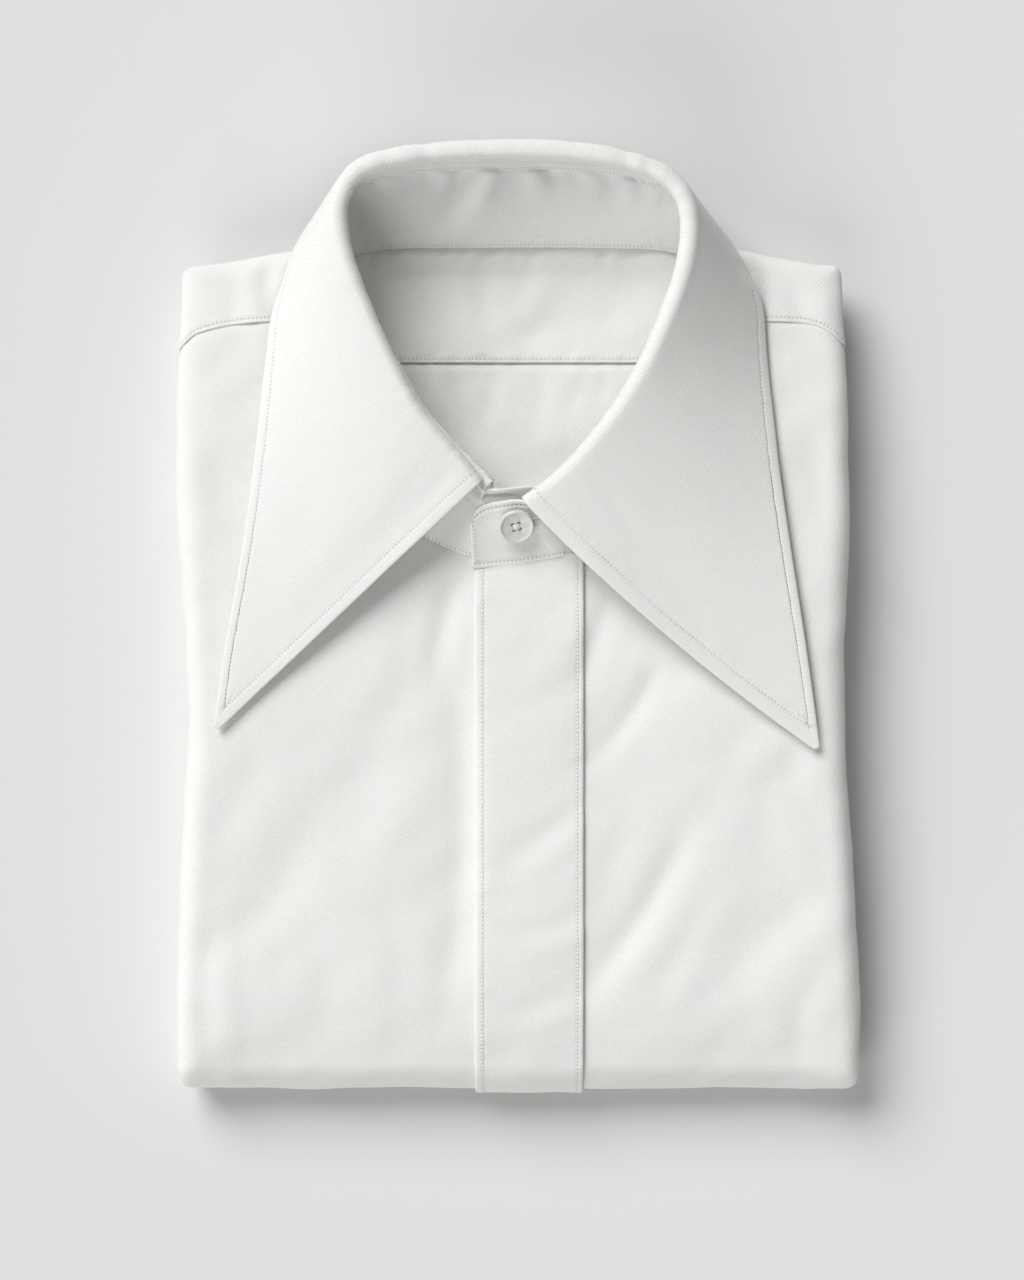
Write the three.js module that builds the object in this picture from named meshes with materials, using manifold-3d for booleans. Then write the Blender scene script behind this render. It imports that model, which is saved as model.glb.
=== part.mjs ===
// A folded dress shirt with a long-pointed collar, lying on its back.
// Millimetres, +Z up. X runs across the shirt, +Y towards the back of the collar, and Z = 0 is the surface
// that the shirt lies on. "Left" in a table is the side of -X.
import * as THREE from "three";
import * as BufferGeometryUtils from "three/addons/utils/BufferGeometryUtils.js";
import Module from "manifold-3d";

const wasm = await Module();
wasm.setup();

// ---- driving dimensions ----
const CLOTH = 1.4; // wall of a front, yoke or back panel
const STAND_WALL = 1.4; // outer and inner stand sewn together
const FALL_WALL = 1.6; // upper and under collar sewn together
const SEAM_GAP = 0.4; // clear space between two pieces
const WING_GAP = 0.6; // the same, measured along the side folds
const LAYER_GAP = 0.95; // clear space over the layers beneath, which leaves room for flat facets
const TAIL_HEIGHT = 13; // thickness of the tail folded beneath
const SIDE_ROUND = 8.6; // how far a side fold rounds out
const END_ROUND = 7; // how far the shoulder end rounds out
const BEND_REACH = 0.95; // bottom fold: its reach over its half height
const BEND_DROOP = 0.24; // bottom fold: how far it draws in, as a share of its half height
const FLAT_START = 120; // Y where the shoulder end starts to round
const FLAT_STOP = -154.5; // Y where the bottom fold starts to round
const TAIL_INSET = 2; // the tail's side folds lie this far in
const SIDE_TURN = 1.4; // side folds turn in to this many quarter turns
const ROUND_POWER = 2.3; // 2 rounds a side fold as an ellipse, more makes it squarer
const CORNER_POWER = 3.6; // the same at the bottom fold
const CROWN = { drop: 1.2, halfWidth: 118 }; // the top face falls off towards the sides
const SHOULDER_BLEND = { from: 60, to: 116 }; // Y over which the shoulder's slope comes in
const TAIL_SHORT = 5; // the tail ends this far short of the shoulder
const LAYER_CREASE = 1.1; // depth of the creases between the layers at a side
const WING_Y = 96; // Y at which the wings of the yoke are measured
const PLACKET_LEFT = -14.8;
const PLACKET_RIGHT = 22.5;
const FRONT_EDGE = 4; // X where the two fronts meet under the placket
const MIDDLE_SHIFT = 1.83; // moves the whole along Y, so that the origin is under its middle
const NECK = { halfWidth: 71, centreY: 88.8, front: 69.7, back: 40.3, backPower: 5.5 };
const BASIN_FLOOR = 20; // height of the back panel inside the neck
// A leaf rises softly near the roll and lies down near its edge.
const FALL_LIFT = { start: 0.8, edge: 0.6, lie: 1.6 };
const LEAF_REACH = { from: 50, over: 60 }; // reach of the fall at which it starts to lie down
const FALL_TURN_IN = 0.8; // how far the fall goes down the inside of the stand
const ROLL_RADIUS = 2.25; // middle of the fall's wall round the top of the stand
const BUTTON = {
  upTab: 0.65, // share of the tab's height at the button's middle
  alongTab: 0.34, // share of the way between the tab's first two lines
  seat: 0.7, // clear of the middle of the tab's wall, beyond half that wall
  radius: 6.2,
  thickness: 2.2,
  rim: 1.3,
  dish: 0.6,
  rounding: 0.8,
  slope: 0.6,
  holeRadius: 0.8,
  holeSpacing: 1.45,
};

// Outline of the folded shirt: the reach of each side from the centre line, at each Y.
const OUTLINE = [
  { y: 122, left: 116.4, right: 112.2 },
  { y: 93, left: 117.5, right: 113.7 },
  { y: 45, left: 118.6, right: 114.8 },
  { y: 10, left: 116.8, right: 114.2 },
  { y: -29, left: 114.3, right: 112.8 },
  { y: -69, left: 115.8, right: 114.9 },
  { y: -100, left: 117.6, right: 116.9 },
  { y: -135, left: 118.1, right: 118.5 },
  { y: -165, left: 117.8, right: 118.6 },
];

// Height of the shirt's top face along its length.
const TOP_FACE = [
  { y: 130, z: 23.5 },
  { y: 100, z: 26.5 },
  { y: 60, z: 29 },
  { y: 0, z: 30.5 },
  { y: -112, z: 30.5 },
  { y: -133, z: 30 },
  { y: -145, z: 28.3 },
  { y: -155, z: 25.8 },
];

// The shoulder line: Y of the end fold at each distance from the centre line.
const SHOULDER = [
  { x: 0, y: 134 },
  { x: 45, y: 133 },
  { x: 74, y: 128.6 },
  { x: 95, y: 124.6 },
  { x: 119, y: 120.6 },
];

// The front yoke seams: Y at each X.
const YOKE_SEAM = [
  { x: -118, y: 93 },
  { x: -112, y: 98.6 },
  { x: -100, y: 101.7 },
  { x: -85, y: 103 },
  { x: 85, y: 103 },
  { x: 99, y: 102.5 },
  { x: 107, y: 100.2 },
  { x: 114, y: 94.5 },
];

// The largest soft troughs on the fronts, each from one point to another.
const TROUGHS = [
  { x1: 34, y1: 5, x2: 24, y2: -22, width: 9, depth: 0.9 },
  { x1: 46, y1: -22, x2: 26, y2: -50, width: 9, depth: 0.8 },
  { x1: 52, y1: -84, x2: 25, y2: -126, width: 10, depth: 1.1 },
  { x1: 90, y1: -103, x2: 68, y2: -127, width: 12, depth: 0.6 },
  { x1: -20, y1: 24, x2: -28, y2: -14, width: 10, depth: 1.0 },
  { x1: -21, y1: -30, x2: -24, y2: -130, width: 9, depth: 0.6 },
  { x1: -108, y1: -117, x2: -110, y2: -138, width: 8, depth: 0.8 },
  { x1: -60, y1: -60, x2: -98, y2: -112, width: 14, depth: 0.6 },
];

// The collar from the left leaf's front edge round the back to the right leaf's front edge. "seam" is the
// place on the neck seam in degrees from the front, "roll" the fold at the top and "edge" the fall's outer
// edge. A leaf that lies on the shirt has "rest", the height of its edge over the cloth; one that hangs has
// "hang", its height.
const COLLAR = [
  { seam: 10, rollX: -12.4, rollY: 43.4, rollZ: 43, edgeX: -104.1, edgeY: -38.4, rest: 1.5, bow: 0 },
  { seam: 24, rollX: -19, rollY: 51.7, rollZ: 44, edgeX: -100.6, edgeY: -12.6, rest: 1.5, bow: 0 },
  { seam: 39, rollX: -26.8, rollY: 60.6, rollZ: 45, edgeX: -95.8, edgeY: 13.3, rest: 1.5, bow: 0 },
  { seam: 55, rollX: -36.1, rollY: 72.2, rollZ: 46.5, edgeX: -91.7, edgeY: 39.1, rest: 1.5, bow: 0 },
  { seam: 71, rollX: -44.2, rollY: 87.4, rollZ: 48, edgeX: -88.3, edgeY: 66.7, rest: 1.6, bow: 0 },
  { seam: 86, rollX: -52, rollY: 104.6, rollZ: 50, edgeX: -85.7, edgeY: 88.5, rest: 1.7, bow: 0 },
  { seam: 101, rollX: -58.4, rollY: 121.3, rollZ: 52, edgeX: -83.5, edgeY: 105.1, rest: 1.9, bow: 0 },
  { seam: 116, rollX: -61.1, rollY: 134.5, rollZ: 53, edgeX: -80.1, edgeY: 116.2, rest: 2.6, bow: 0 },
  { seam: 129, rollX: -60.2, rollY: 143.7, rollZ: 54, edgeX: -75.6, edgeY: 128.7, hang: 25.5, bow: 0 },
  { seam: 141, rollX: -54.7, rollY: 151.9, rollZ: 54.5, edgeX: -68, edgeY: 139, hang: 19.5, bow: 0 },
  { seam: 153, rollX: -44.2, rollY: 156, rollZ: 55, edgeX: -53.5, edgeY: 153.7, hang: 13, bow: 0 },
  { seam: 167, rollX: -26.5, rollY: 158.4, rollZ: 55, edgeX: -30.5, edgeY: 160.4, hang: 9.5, bow: 0 },
  { seam: 180, rollX: -1.1, rollY: 159.1, rollZ: 55, edgeX: -1, edgeY: 161.4, hang: 8, bow: 0 },
  { seam: 193, rollX: 24.4, rollY: 157.7, rollZ: 55, edgeX: 28.5, edgeY: 159.8, hang: 9.5, bow: 0 },
  { seam: 207, rollX: 42.4, rollY: 153.8, rollZ: 54.5, edgeX: 50, edgeY: 152.8, hang: 13.5, bow: 0 },
  { seam: 219, rollX: 52.3, rollY: 148.5, rollZ: 54, edgeX: 61.5, edgeY: 141.2, hang: 20, bow: 0 },
  { seam: 231, rollX: 57.4, rollY: 140.8, rollZ: 53.5, edgeX: 71.4, edgeY: 130.2, hang: 25.5, bow: 0 },
  { seam: 244, rollX: 58.5, rollY: 130, rollZ: 52.5, edgeX: 78.1, edgeY: 117.6, rest: 2.6, bow: 0 },
  { seam: 259, rollX: 56, rollY: 115.9, rollZ: 51.5, edgeX: 82.9, edgeY: 107.9, rest: 1.9, bow: 0 },
  { seam: 274, rollX: 50.7, rollY: 101.2, rollZ: 50, edgeX: 84.5, edgeY: 92.6, rest: 1.7, bow: 0 },
  { seam: 289, rollX: 44, rollY: 86.1, rollZ: 48.5, edgeX: 86.2, edgeY: 75.3, rest: 1.6, bow: 0 },
  { seam: 305, rollX: 35.1, rollY: 71.1, rollZ: 47, edgeX: 88.9, edgeY: 51.2, rest: 1.5, bow: 0.6 },
  { seam: 321, rollX: 24.7, rollY: 57.9, rollZ: 46, edgeX: 93, edgeY: 23.6, rest: 1.5, bow: 1.4 },
  { seam: 336, rollX: 14.7, rollY: 47.6, rollZ: 44.5, edgeX: 98.5, edgeY: -10.9, rest: 1.5, bow: 2.4 },
  { seam: 348, rollX: 3.7, rollY: 39.4, rollZ: 43.5, edgeX: 103.4, edgeY: -45.3, rest: 1.5, bow: 3.2 },
];

// The two ends of the stand in front of the leaves: the end that lies under, then the tab buttoned over it.
const UNDER_END = [
  { baseX: 14, baseY: 27, baseZ: 28.6, topX: 14, topY: 43.8, topZ: 38.4 },
  { baseX: 2, baseY: 25.2, baseZ: 28.8, topX: 4, topY: 44.6, topZ: 39.8 },
];
const TAB_END = [
  { baseX: 11, baseY: 20.2, baseZ: 33.2, topX: 0, topY: 40.2, topZ: 42.9 },
  { baseX: 0.5, baseY: 18.3, baseZ: 33.2, topX: -5, topY: 39.6, topZ: 42.3 },
  { baseX: -10, baseY: 17.2, baseZ: 33.2, topX: -11, topY: 38.5, topZ: 41.4 },
  { baseX: -14, baseY: 16.8, baseZ: 33.2, topX: -14.7, topY: 36.1, topZ: 40.4 },
  { baseX: -15.6, baseY: 17.2, baseZ: 33.2, topX: -16.4, topY: 31.6, topZ: 38.4 },
];

// ---- grid sizes ----
const SIDE_STEPS = 6;
const BEND_STEPS = 10;
const END_STEPS = 4;
const FLAT_ROWS = 15;
const FLAT_COLUMNS = 16;
const PANEL_COLUMNS = 9;
const NECK_COLUMNS = 16;
const BEND_LENGTH = 50; // length of the bottom fold in the panel's own measure
const END_LENGTH = 12;
const FRONT_BEND_STEPS = 9; // steps of the bottom fold that a front follows
const PLACKET_BEND_STEPS = 7;

const clamp = THREE.MathUtils.clamp;
const lerp = THREE.MathUtils.lerp;
const rise = THREE.MathUtils.smoothstep; // rise(value, low, high)

// A smooth curve through one column of a table, read at a place that may be a fraction of a row.
function column(rows, key, place) {
  const index = clamp(Math.floor(place), 0, rows.length - 2);
  const share = clamp(place - index, 0, 1);
  const from = rows[index][key];
  const to = rows[index + 1][key];
  const before = index > 0 ? rows[index - 1][key] : 2 * from - to;
  const after = index + 2 < rows.length ? rows[index + 2][key] : 2 * to - from;
  const slopeFrom = (to - before) / 2;
  const slopeTo = (after - from) / 2;
  const square = share * share;
  const cube = square * share;
  const start = (2 * cube - 3 * square + 1) * from + (cube - 2 * square + share) * slopeFrom;
  return start + (3 * square - 2 * cube) * to + (cube - square) * slopeTo;
}

// The same curve read at a value of another column, which rises or falls all the way.
function curve(rows, key, by, value) {
  const falling = rows[0][by] > rows[1][by];
  let index = 0;
  while (index < rows.length - 2 && (falling ? value < rows[index + 1][by] : value > rows[index + 1][by])) {
    index += 1;
  }
  const share = (value - rows[index][by]) / (rows[index + 1][by] - rows[index][by]);
  return column(rows, key, index + clamp(share, 0, 1));
}

function steps(from, to, count) {
  return Array.from({ length: count + 1 }, (_, index) => lerp(from, to, index / count));
}

// ---- form of the folded shirt ----

function troughDepth(x, y) {
  let depth = 0;
  for (const { x1, y1, x2, y2, width, depth: deepest } of TROUGHS) {
    const length = Math.hypot(x2 - x1, y2 - y1);
    const along = ((x - x1) * (x2 - x1) + (y - y1) * (y2 - y1)) / length;
    const past = Math.max(0, -along, along - length);
    const aside = ((x - x1) * (y2 - y1) - (y - y1) * (x2 - x1)) / length;
    depth += deepest * Math.exp(-((aside / width) ** 2) - (past / (1.5 * width)) ** 2);
  }
  return depth;
}

function topFace(x, y) {
  const crown = CROWN.drop * (x / CROWN.halfWidth) ** 4;
  return curve(TOP_FACE, "z", "y", y) - crown - troughDepth(x, y);
}

// A rounded quarter turn, a little squarer than a circle, for an angle up to 180 degrees.
function roundOut(angle, power) {
  return Math.sin(angle) ** (2 / power);
}

function roundUp(angle, power) {
  return Math.sign(Math.cos(angle)) * Math.abs(Math.cos(angle)) ** (2 / power);
}

// A point on the outside of the folded cloth. u runs across: -1 to 1 over the flat top, and on by quarter
// turns round the side folds. v runs in millimetres from the shoulder over the front, round the bottom fold
// and back beneath.
const FRONT_LENGTH = FLAT_START - FLAT_STOP;
const BENEATH = FRONT_LENGTH + BEND_LENGTH;

function onSurface(u, v) {
  const bend = Math.PI * clamp((v - FRONT_LENGTH) / BEND_LENGTH, 0, 1);
  const beneath = v > FRONT_LENGTH + BEND_LENGTH / 2;
  const towardTail = (1 - Math.cos(bend)) / 2;
  const nominalY = beneath ? FLAT_STOP + Math.max(0, v - BENEATH) : FLAT_START - clamp(v, 0, FRONT_LENGTH);
  const flatY = Math.min(nominalY, FLAT_START);
  const endTurns = Math.max(0, -v / END_LENGTH, (v - BENEATH - FRONT_LENGTH) / END_LENGTH);
  const sideTurns = Math.max(0, Math.abs(u) - 1);
  const side = Math.sign(u);
  const reachLeft = curve(OUTLINE, "left", "y", flatY) - SIDE_ROUND - TAIL_INSET * towardTail;
  const reachRight = curve(OUTLINE, "right", "y", flatY) - SIDE_ROUND - TAIL_INSET * towardTail;
  const flatX = lerp(-reachLeft, reachRight, (clamp(u, -1, 1) + 1) / 2);
  const shoulder = curve(SHOULDER, "y", "x", Math.abs(flatX)) - END_ROUND - FLAT_START;
  const tailShort = TAIL_SHORT * towardTail;
  const y = flatY + (shoulder - tailShort) * rise(flatY, SHOULDER_BLEND.from, SHOULDER_BLEND.to);
  const height = lerp(topFace(flatX, y) - TAIL_HEIGHT, TAIL_HEIGHT, towardTail);
  const power = lerp(ROUND_POWER, CORNER_POWER, Math.sin(bend));
  const turn = (Math.PI / 2) * Math.max(sideTurns, endTurns);
  const corner = (sideTurns ** 4 + endTurns ** 4) ** 0.25 || 1;
  const out = roundOut(turn, power);
  const radius = (height / 2) * (1 + roundUp(turn, power)) * (1 - BEND_DROOP * Math.sin(bend));
  return new THREE.Vector3(
    flatX + (side * SIDE_ROUND * out * sideTurns) / corner,
    y + (END_ROUND * out * endTurns) / corner - BEND_REACH * radius * Math.sin(bend),
    TAIL_HEIGHT + radius * Math.cos(bend),
  );
}

// The same point moved out along the cloth's normal.
function skin(u, v, lift) {
  const point = onSurface(u, v);
  const across = onSurface(u + 0.004, v).sub(onSurface(u - 0.004, v));
  const along = onSurface(u, v + 0.3).sub(onSurface(u, v - 0.3));
  const normal = along.cross(across).normalize();
  return point.addScaledVector(normal, lift);
}

// u and v of a plan point on the flat top.
function acrossAt(x, y) {
  const left = -(curve(OUTLINE, "left", "y", y) - SIDE_ROUND);
  const right = curve(OUTLINE, "right", "y", y) - SIDE_ROUND;
  return (2 * (x - left)) / (right - left) - 1;
}

function alongAt(x, y) {
  const shoulder = curve(SHOULDER, "y", "x", Math.abs(x)) - END_ROUND - FLAT_START;
  let flatY = y;
  for (let round = 0; round < 12; round += 1) {
    flatY = y - shoulder * rise(flatY, SHOULDER_BLEND.from, SHOULDER_BLEND.to);
  }
  return FLAT_START - flatY;
}

// ---- the neck ----

// A point of the neck seam, by its angle from the front, and the seam's Y at an X.
function neckSeam(angle) {
  const turn = THREE.MathUtils.degToRad(angle);
  const back = Math.cos(turn) < 0;
  const share = back ? 2 / NECK.backPower : 1;
  const x = -NECK.halfWidth * Math.sign(Math.sin(turn)) * Math.abs(Math.sin(turn)) ** share;
  const reach = Math.abs(Math.cos(turn)) ** share;
  return new THREE.Vector2(x, NECK.centreY + (back ? NECK.back : -NECK.front) * reach);
}

function neckFrontY(x, inset) {
  const half = NECK.halfWidth - inset;
  return NECK.centreY - (NECK.front - inset) * Math.sqrt(Math.max(0, 1 - (x / half) ** 2));
}

function neckBackY(x, inset) {
  const half = NECK.halfWidth - inset;
  const share = Math.max(0, 1 - Math.abs(x / half) ** NECK.backPower);
  return NECK.centreY + (NECK.back - inset) * share ** (1 / NECK.backPower);
}

// Height of the cloth inside the neck: low in the middle, rising to the seam all round.
function basin(x, y) {
  const back = y > NECK.centreY;
  const alongShare = Math.abs(y - NECK.centreY) / (back ? NECK.back : NECK.front);
  const acrossShare = Math.abs(x) / NECK.halfWidth;
  const power = back ? NECK.backPower : 2;
  const outward = (alongShare ** power + acrossShare ** power) ** (1 / power);
  const rim = curve(TOP_FACE, "z", "y", y) - lerp(4, 0.2, rise(y, 75, 110));
  return lerp(BASIN_FLOOR, rim, rise(outward, 0.72, 1));
}

// ---- making closed solids ----

// A closed solid between two grids of points with the same rows and columns.
function solidBetween(outer, inner) {
  const rows = outer.length;
  const columns = outer[0].length;
  const points = [...outer.flat(), ...inner.flat()];
  const below = rows * columns;
  const faces = [];
  const quad = (a, b, c, d) => faces.push(a, b, c, a, c, d);
  for (let row = 0; row < rows - 1; row += 1) {
    for (let place = 0; place < columns - 1; place += 1) {
      const corner = row * columns + place;
      quad(corner, corner + 1, corner + columns + 1, corner + columns);
      quad(below + corner, below + corner + columns, below + corner + columns + 1, below + corner + 1);
    }
  }
  const rim = (a, b) => quad(a, below + a, below + b, b);
  for (let place = 0; place < columns - 1; place += 1) {
    rim(place, place + 1);
    rim((rows - 1) * columns + place + 1, (rows - 1) * columns + place);
  }
  for (let row = 0; row < rows - 1; row += 1) {
    rim((row + 1) * columns, row * columns);
    rim(row * columns + columns - 1, (row + 1) * columns + columns - 1);
  }
  return closedGeometry(points, faces);
}

// Merges points that coincide, drops the faces that they leave flat, and turns the faces outwards.
function closedGeometry(points, faces) {
  const loose = new THREE.BufferGeometry();
  const numbers = points.flatMap((p) => [p.x, p.y, p.z]);
  loose.setAttribute("position", new THREE.Float32BufferAttribute(numbers, 3));
  loose.setIndex(faces);
  const merged = BufferGeometryUtils.mergeVertices(loose, 1e-3);
  const index = merged.index.array;
  const kept = [];
  for (let place = 0; place < index.length; place += 3) {
    const [a, b, c] = index.slice(place, place + 3);
    if (a !== b && b !== c && c !== a) {
      kept.push(a, b, c);
    }
  }
  if (enclosedVolume(merged, kept) < 0) {
    kept.reverse();
  }
  merged.setIndex(kept);
  return merged;
}

function enclosedVolume(geometry, index) {
  const position = geometry.getAttribute("position");
  const corner = [new THREE.Vector3(), new THREE.Vector3(), new THREE.Vector3()];
  let volume = 0;
  for (let place = 0; place < index.length; place += 3) {
    corner.forEach((point, step) => point.fromBufferAttribute(position, index[place + step]));
    volume += corner[0].dot(corner[1].cross(corner[2])) / 6;
  }
  return volume;
}

// Unit normals of a grid of points, from its neighbours.
function gridNormals(grid) {
  const at = (row, place) =>
    grid[clamp(row, 0, grid.length - 1)][clamp(place, 0, grid[0].length - 1)];
  return grid.map((line, row) =>
    line.map((_, place) => {
      const down = at(row + 1, place).clone().sub(at(row - 1, place));
      const over = at(row, place + 1).clone().sub(at(row, place - 1));
      return over.cross(down).normalize();
    }),
  );
}

// A closed wall of even thickness about a grid of points.
function wallAbout(grid, thickness) {
  const normals = gridNormals(grid);
  const moved = (share) =>
    grid.map((line, row) =>
      line.map((point, place) => point.clone().addScaledVector(normals[row][place], share)),
    );
  return solidBetween(moved(thickness / 2), moved(-thickness / 2));
}

function panelGeometry(us, vs, place, lift, thickness) {
  const layer = (height) => vs.map((v) => us.map((u) => skin(...place(u, v), height)));
  return solidBetween(layer(lift + thickness), layer(lift));
}

const group = new THREE.Group();
group.position.y = MIDDLE_SHIFT;

function addPiece(name, geometry, color, roughness = 0.85) {
  const material = new THREE.MeshStandardMaterial({ color, roughness, metalness: 0 });
  const mesh = new THREE.Mesh(geometry, material);
  mesh.name = name;
  group.add(mesh);
}

// ---- the layers folded beneath ----

const STAND_ROOM = 1; // the layers stop this far outside the neck seam
const NECK_REACH = 66; // half width of the panels inside the neck
const NECK_STATIONS = steps(-NECK_REACH, NECK_REACH, NECK_COLUMNS);

const SIDE_ROUND_STEPS = steps(0, SIDE_TURN, SIDE_STEPS).slice(1);
const ALL_COLUMNS = [
  ...SIDE_ROUND_STEPS.map((turns) => -1 - turns).reverse(),
  ...steps(-1, 1, FLAT_COLUMNS),
  ...SIDE_ROUND_STEPS.map((turns) => 1 + turns),
];
const END_ROWS = steps(-SIDE_TURN * END_LENGTH, 0, END_STEPS);
const FRONT_ROWS = steps(0, FRONT_LENGTH, FLAT_ROWS);
const BEND_ROWS = steps(FRONT_LENGTH, BENEATH, BEND_STEPS);

function layersGeometry() {
  const under = -(CLOTH + LAYER_GAP);
  const rows = [...END_ROWS, ...FRONT_ROWS.slice(1), ...BEND_ROWS.slice(1, BEND_STEPS / 2 + 1)];
  const upper = rows.map((v) => ALL_COLUMNS.map((u) => skin(u, v, under)));
  const lower = rows.map((v) => {
    const mirrored = BENEATH + FRONT_LENGTH - v;
    const covered = v > BEND_ROWS[1] - 0.01;
    return ALL_COLUMNS.map((u, place) => {
      const point = covered ? skin(u, mirrored, under) : onSurface(u, mirrored);
      const creased = Math.abs(u) > 1 && (place % 3 === 1);
      return creased && !covered ? point.setX(point.x - Math.sign(u) * LAYER_CREASE) : point;
    });
  });
  return cut(solidBetween(upper, lower), neckTool());
}

// What is cut out of the layers inside the neck.
function neckTool() {
  const reach = NECK.halfWidth + STAND_ROOM;
  const edge = [reach - 0.1, reach - 1, reach - 3];
  const xs = [...edge.map((x) => -x), ...NECK_STATIONS, ...edge.reverse()];
  const layer = (height) =>
    steps(0, 1, 14).map((share) =>
      xs.map((x) => {
        const y = lerp(neckFrontY(x, -STAND_ROOM), neckBackY(x, -STAND_ROOM), share);
        return new THREE.Vector3(x, y, height(x, y));
      }),
    );
  return solidBetween(layer(() => 70), layer((x, y) => basin(x, y) - CLOTH - LAYER_GAP));
}

function toSolid(geometry) {
  const position = new Float32Array(geometry.getAttribute("position").array);
  return new wasm.Manifold(
    new wasm.Mesh({ numProp: 3, vertProperties: position, triVerts: new Uint32Array(geometry.index.array) }),
  );
}

function cut(geometry, tool) {
  const mesh = toSolid(geometry).subtract(toSolid(tool)).getMesh();
  const result = new THREE.BufferGeometry();
  result.setAttribute("position", new THREE.BufferAttribute(mesh.vertProperties, 3));
  result.setIndex(new THREE.BufferAttribute(mesh.triVerts, 1));
  return result;
}

addPiece("folded_layers", layersGeometry(), 0xe4e4e2);

// ---- the two fronts and the placket ----

const NECK_EDGE = 1.4; // a panel's neck edge lies this far outside the neck seam

// A plan point on the neck edge of the panels.
function neckEdge(angle) {
  const seam = neckSeam(angle);
  const depth = seam.y > NECK.centreY ? NECK.back : NECK.front;
  const away = new THREE.Vector2(seam.x / NECK.halfWidth, (seam.y - NECK.centreY) / depth).normalize();
  return seam.addScaledVector(away, NECK_EDGE);
}

// How far along a wing's seam lies where the seam goes round a side fold.
function wingSeam(side, turns) {
  const outer = curve(OUTLINE, side < 0 ? "left" : "right", "y", WING_Y) - SIDE_ROUND;
  const out = Math.sin((Math.PI / 2) * Math.min(turns, 1)) ** (2 / ROUND_POWER);
  const y = curve(YOKE_SEAM, "y", "x", side * (outer + SIDE_ROUND * out));
  return alongAt(side * outer, y);
}

// A front's grid: columns that start on its shaped top edge, and rows that reach the underside.
function frontGeometry(side) {
  const inner = FRONT_EDGE + side * SEAM_GAP;
  const first = side * Math.asin(inner / NECK.halfWidth) * THREE.MathUtils.RAD2DEG;
  const angles = [...steps(first, 90, PANEL_COLUMNS - 3), 100];
  const starts = angles.map((angle) => neckEdge(-side * angle));
  const outerX = (y) => curve(OUTLINE, side < 0 ? "left" : "right", "y", y) - SIDE_ROUND;
  const onSeam = (x) => new THREE.Vector2(x, curve(YOKE_SEAM, "y", "x", x) - SEAM_GAP / 2);
  starts[0].x = inner;
  starts[starts.length - 1] = onSeam(starts[starts.length - 1].x);
  for (const share of [0.5, 1]) {
    starts.push(onSeam(side * lerp(NECK.halfWidth + NECK_EDGE, outerX(WING_Y), share)));
  }
  const ends = steps(inner, side * outerX(FLAT_STOP), starts.length - 1);
  const columns = starts.map((start, place) => ({
    startU: acrossAt(start.x, start.y),
    startV: alongAt(start.x, start.y),
    endU: acrossAt(ends[place], FLAT_STOP),
  }));
  columns[columns.length - 1].startU = side;
  columns[columns.length - 1].endU = side;
  for (const turns of SIDE_ROUND_STEPS.slice(0, SIDE_STEPS - 1)) {
    const startV = wingSeam(side, turns) + WING_GAP / 2;
    columns.push({ startU: side * (1 + turns), startV, endU: side * (1 + turns) });
  }
  const flatShares = steps(0, 1, FLAT_ROWS);
  const layer = (lift) => [
    ...flatShares.map((share) =>
      columns.map(({ startU, startV, endU }) =>
        skin(lerp(startU, endU, share), lerp(startV, FRONT_LENGTH, share), lift),
      ),
    ),
    ...BEND_ROWS.slice(1, FRONT_BEND_STEPS + 1).map((v) => columns.map(({ endU }) => skin(endU, v, lift))),
  ];
  return solidBetween(layer(0), layer(-CLOTH));
}

addPiece("front_right", frontGeometry(-1), 0xf2f2f0);
addPiece("front_left", frontGeometry(1), 0xeeeeec);

const PLACKET_GAP = 0.6; // over the fronts

function placketGeometry() {
  const across = steps(PLACKET_LEFT, PLACKET_RIGHT, 4);
  const shares = steps(0, 1, FLAT_ROWS);
  const layer = (lift) => [
    ...shares.map((share) =>
      across.map((x) => {
        const v = lerp(alongAt(x, neckFrontY(x, -0.6)), FRONT_LENGTH, share);
        return skin(acrossAt(x, FLAT_START - v), v, lift);
      }),
    ),
    ...BEND_ROWS.slice(1, PLACKET_BEND_STEPS + 1).map((v) =>
      across.map((x) => skin(acrossAt(x, FLAT_STOP), v, lift)),
    ),
  ];
  return solidBetween(layer(PLACKET_GAP + CLOTH), layer(PLACKET_GAP));
}

addPiece("placket", placketGeometry(), 0xf6f6f4);

// ---- the yoke and what shows inside the neck ----

const YOKE_BACK_STRIP = 2; // least length of yoke between the shoulder's fold and the neck

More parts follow.
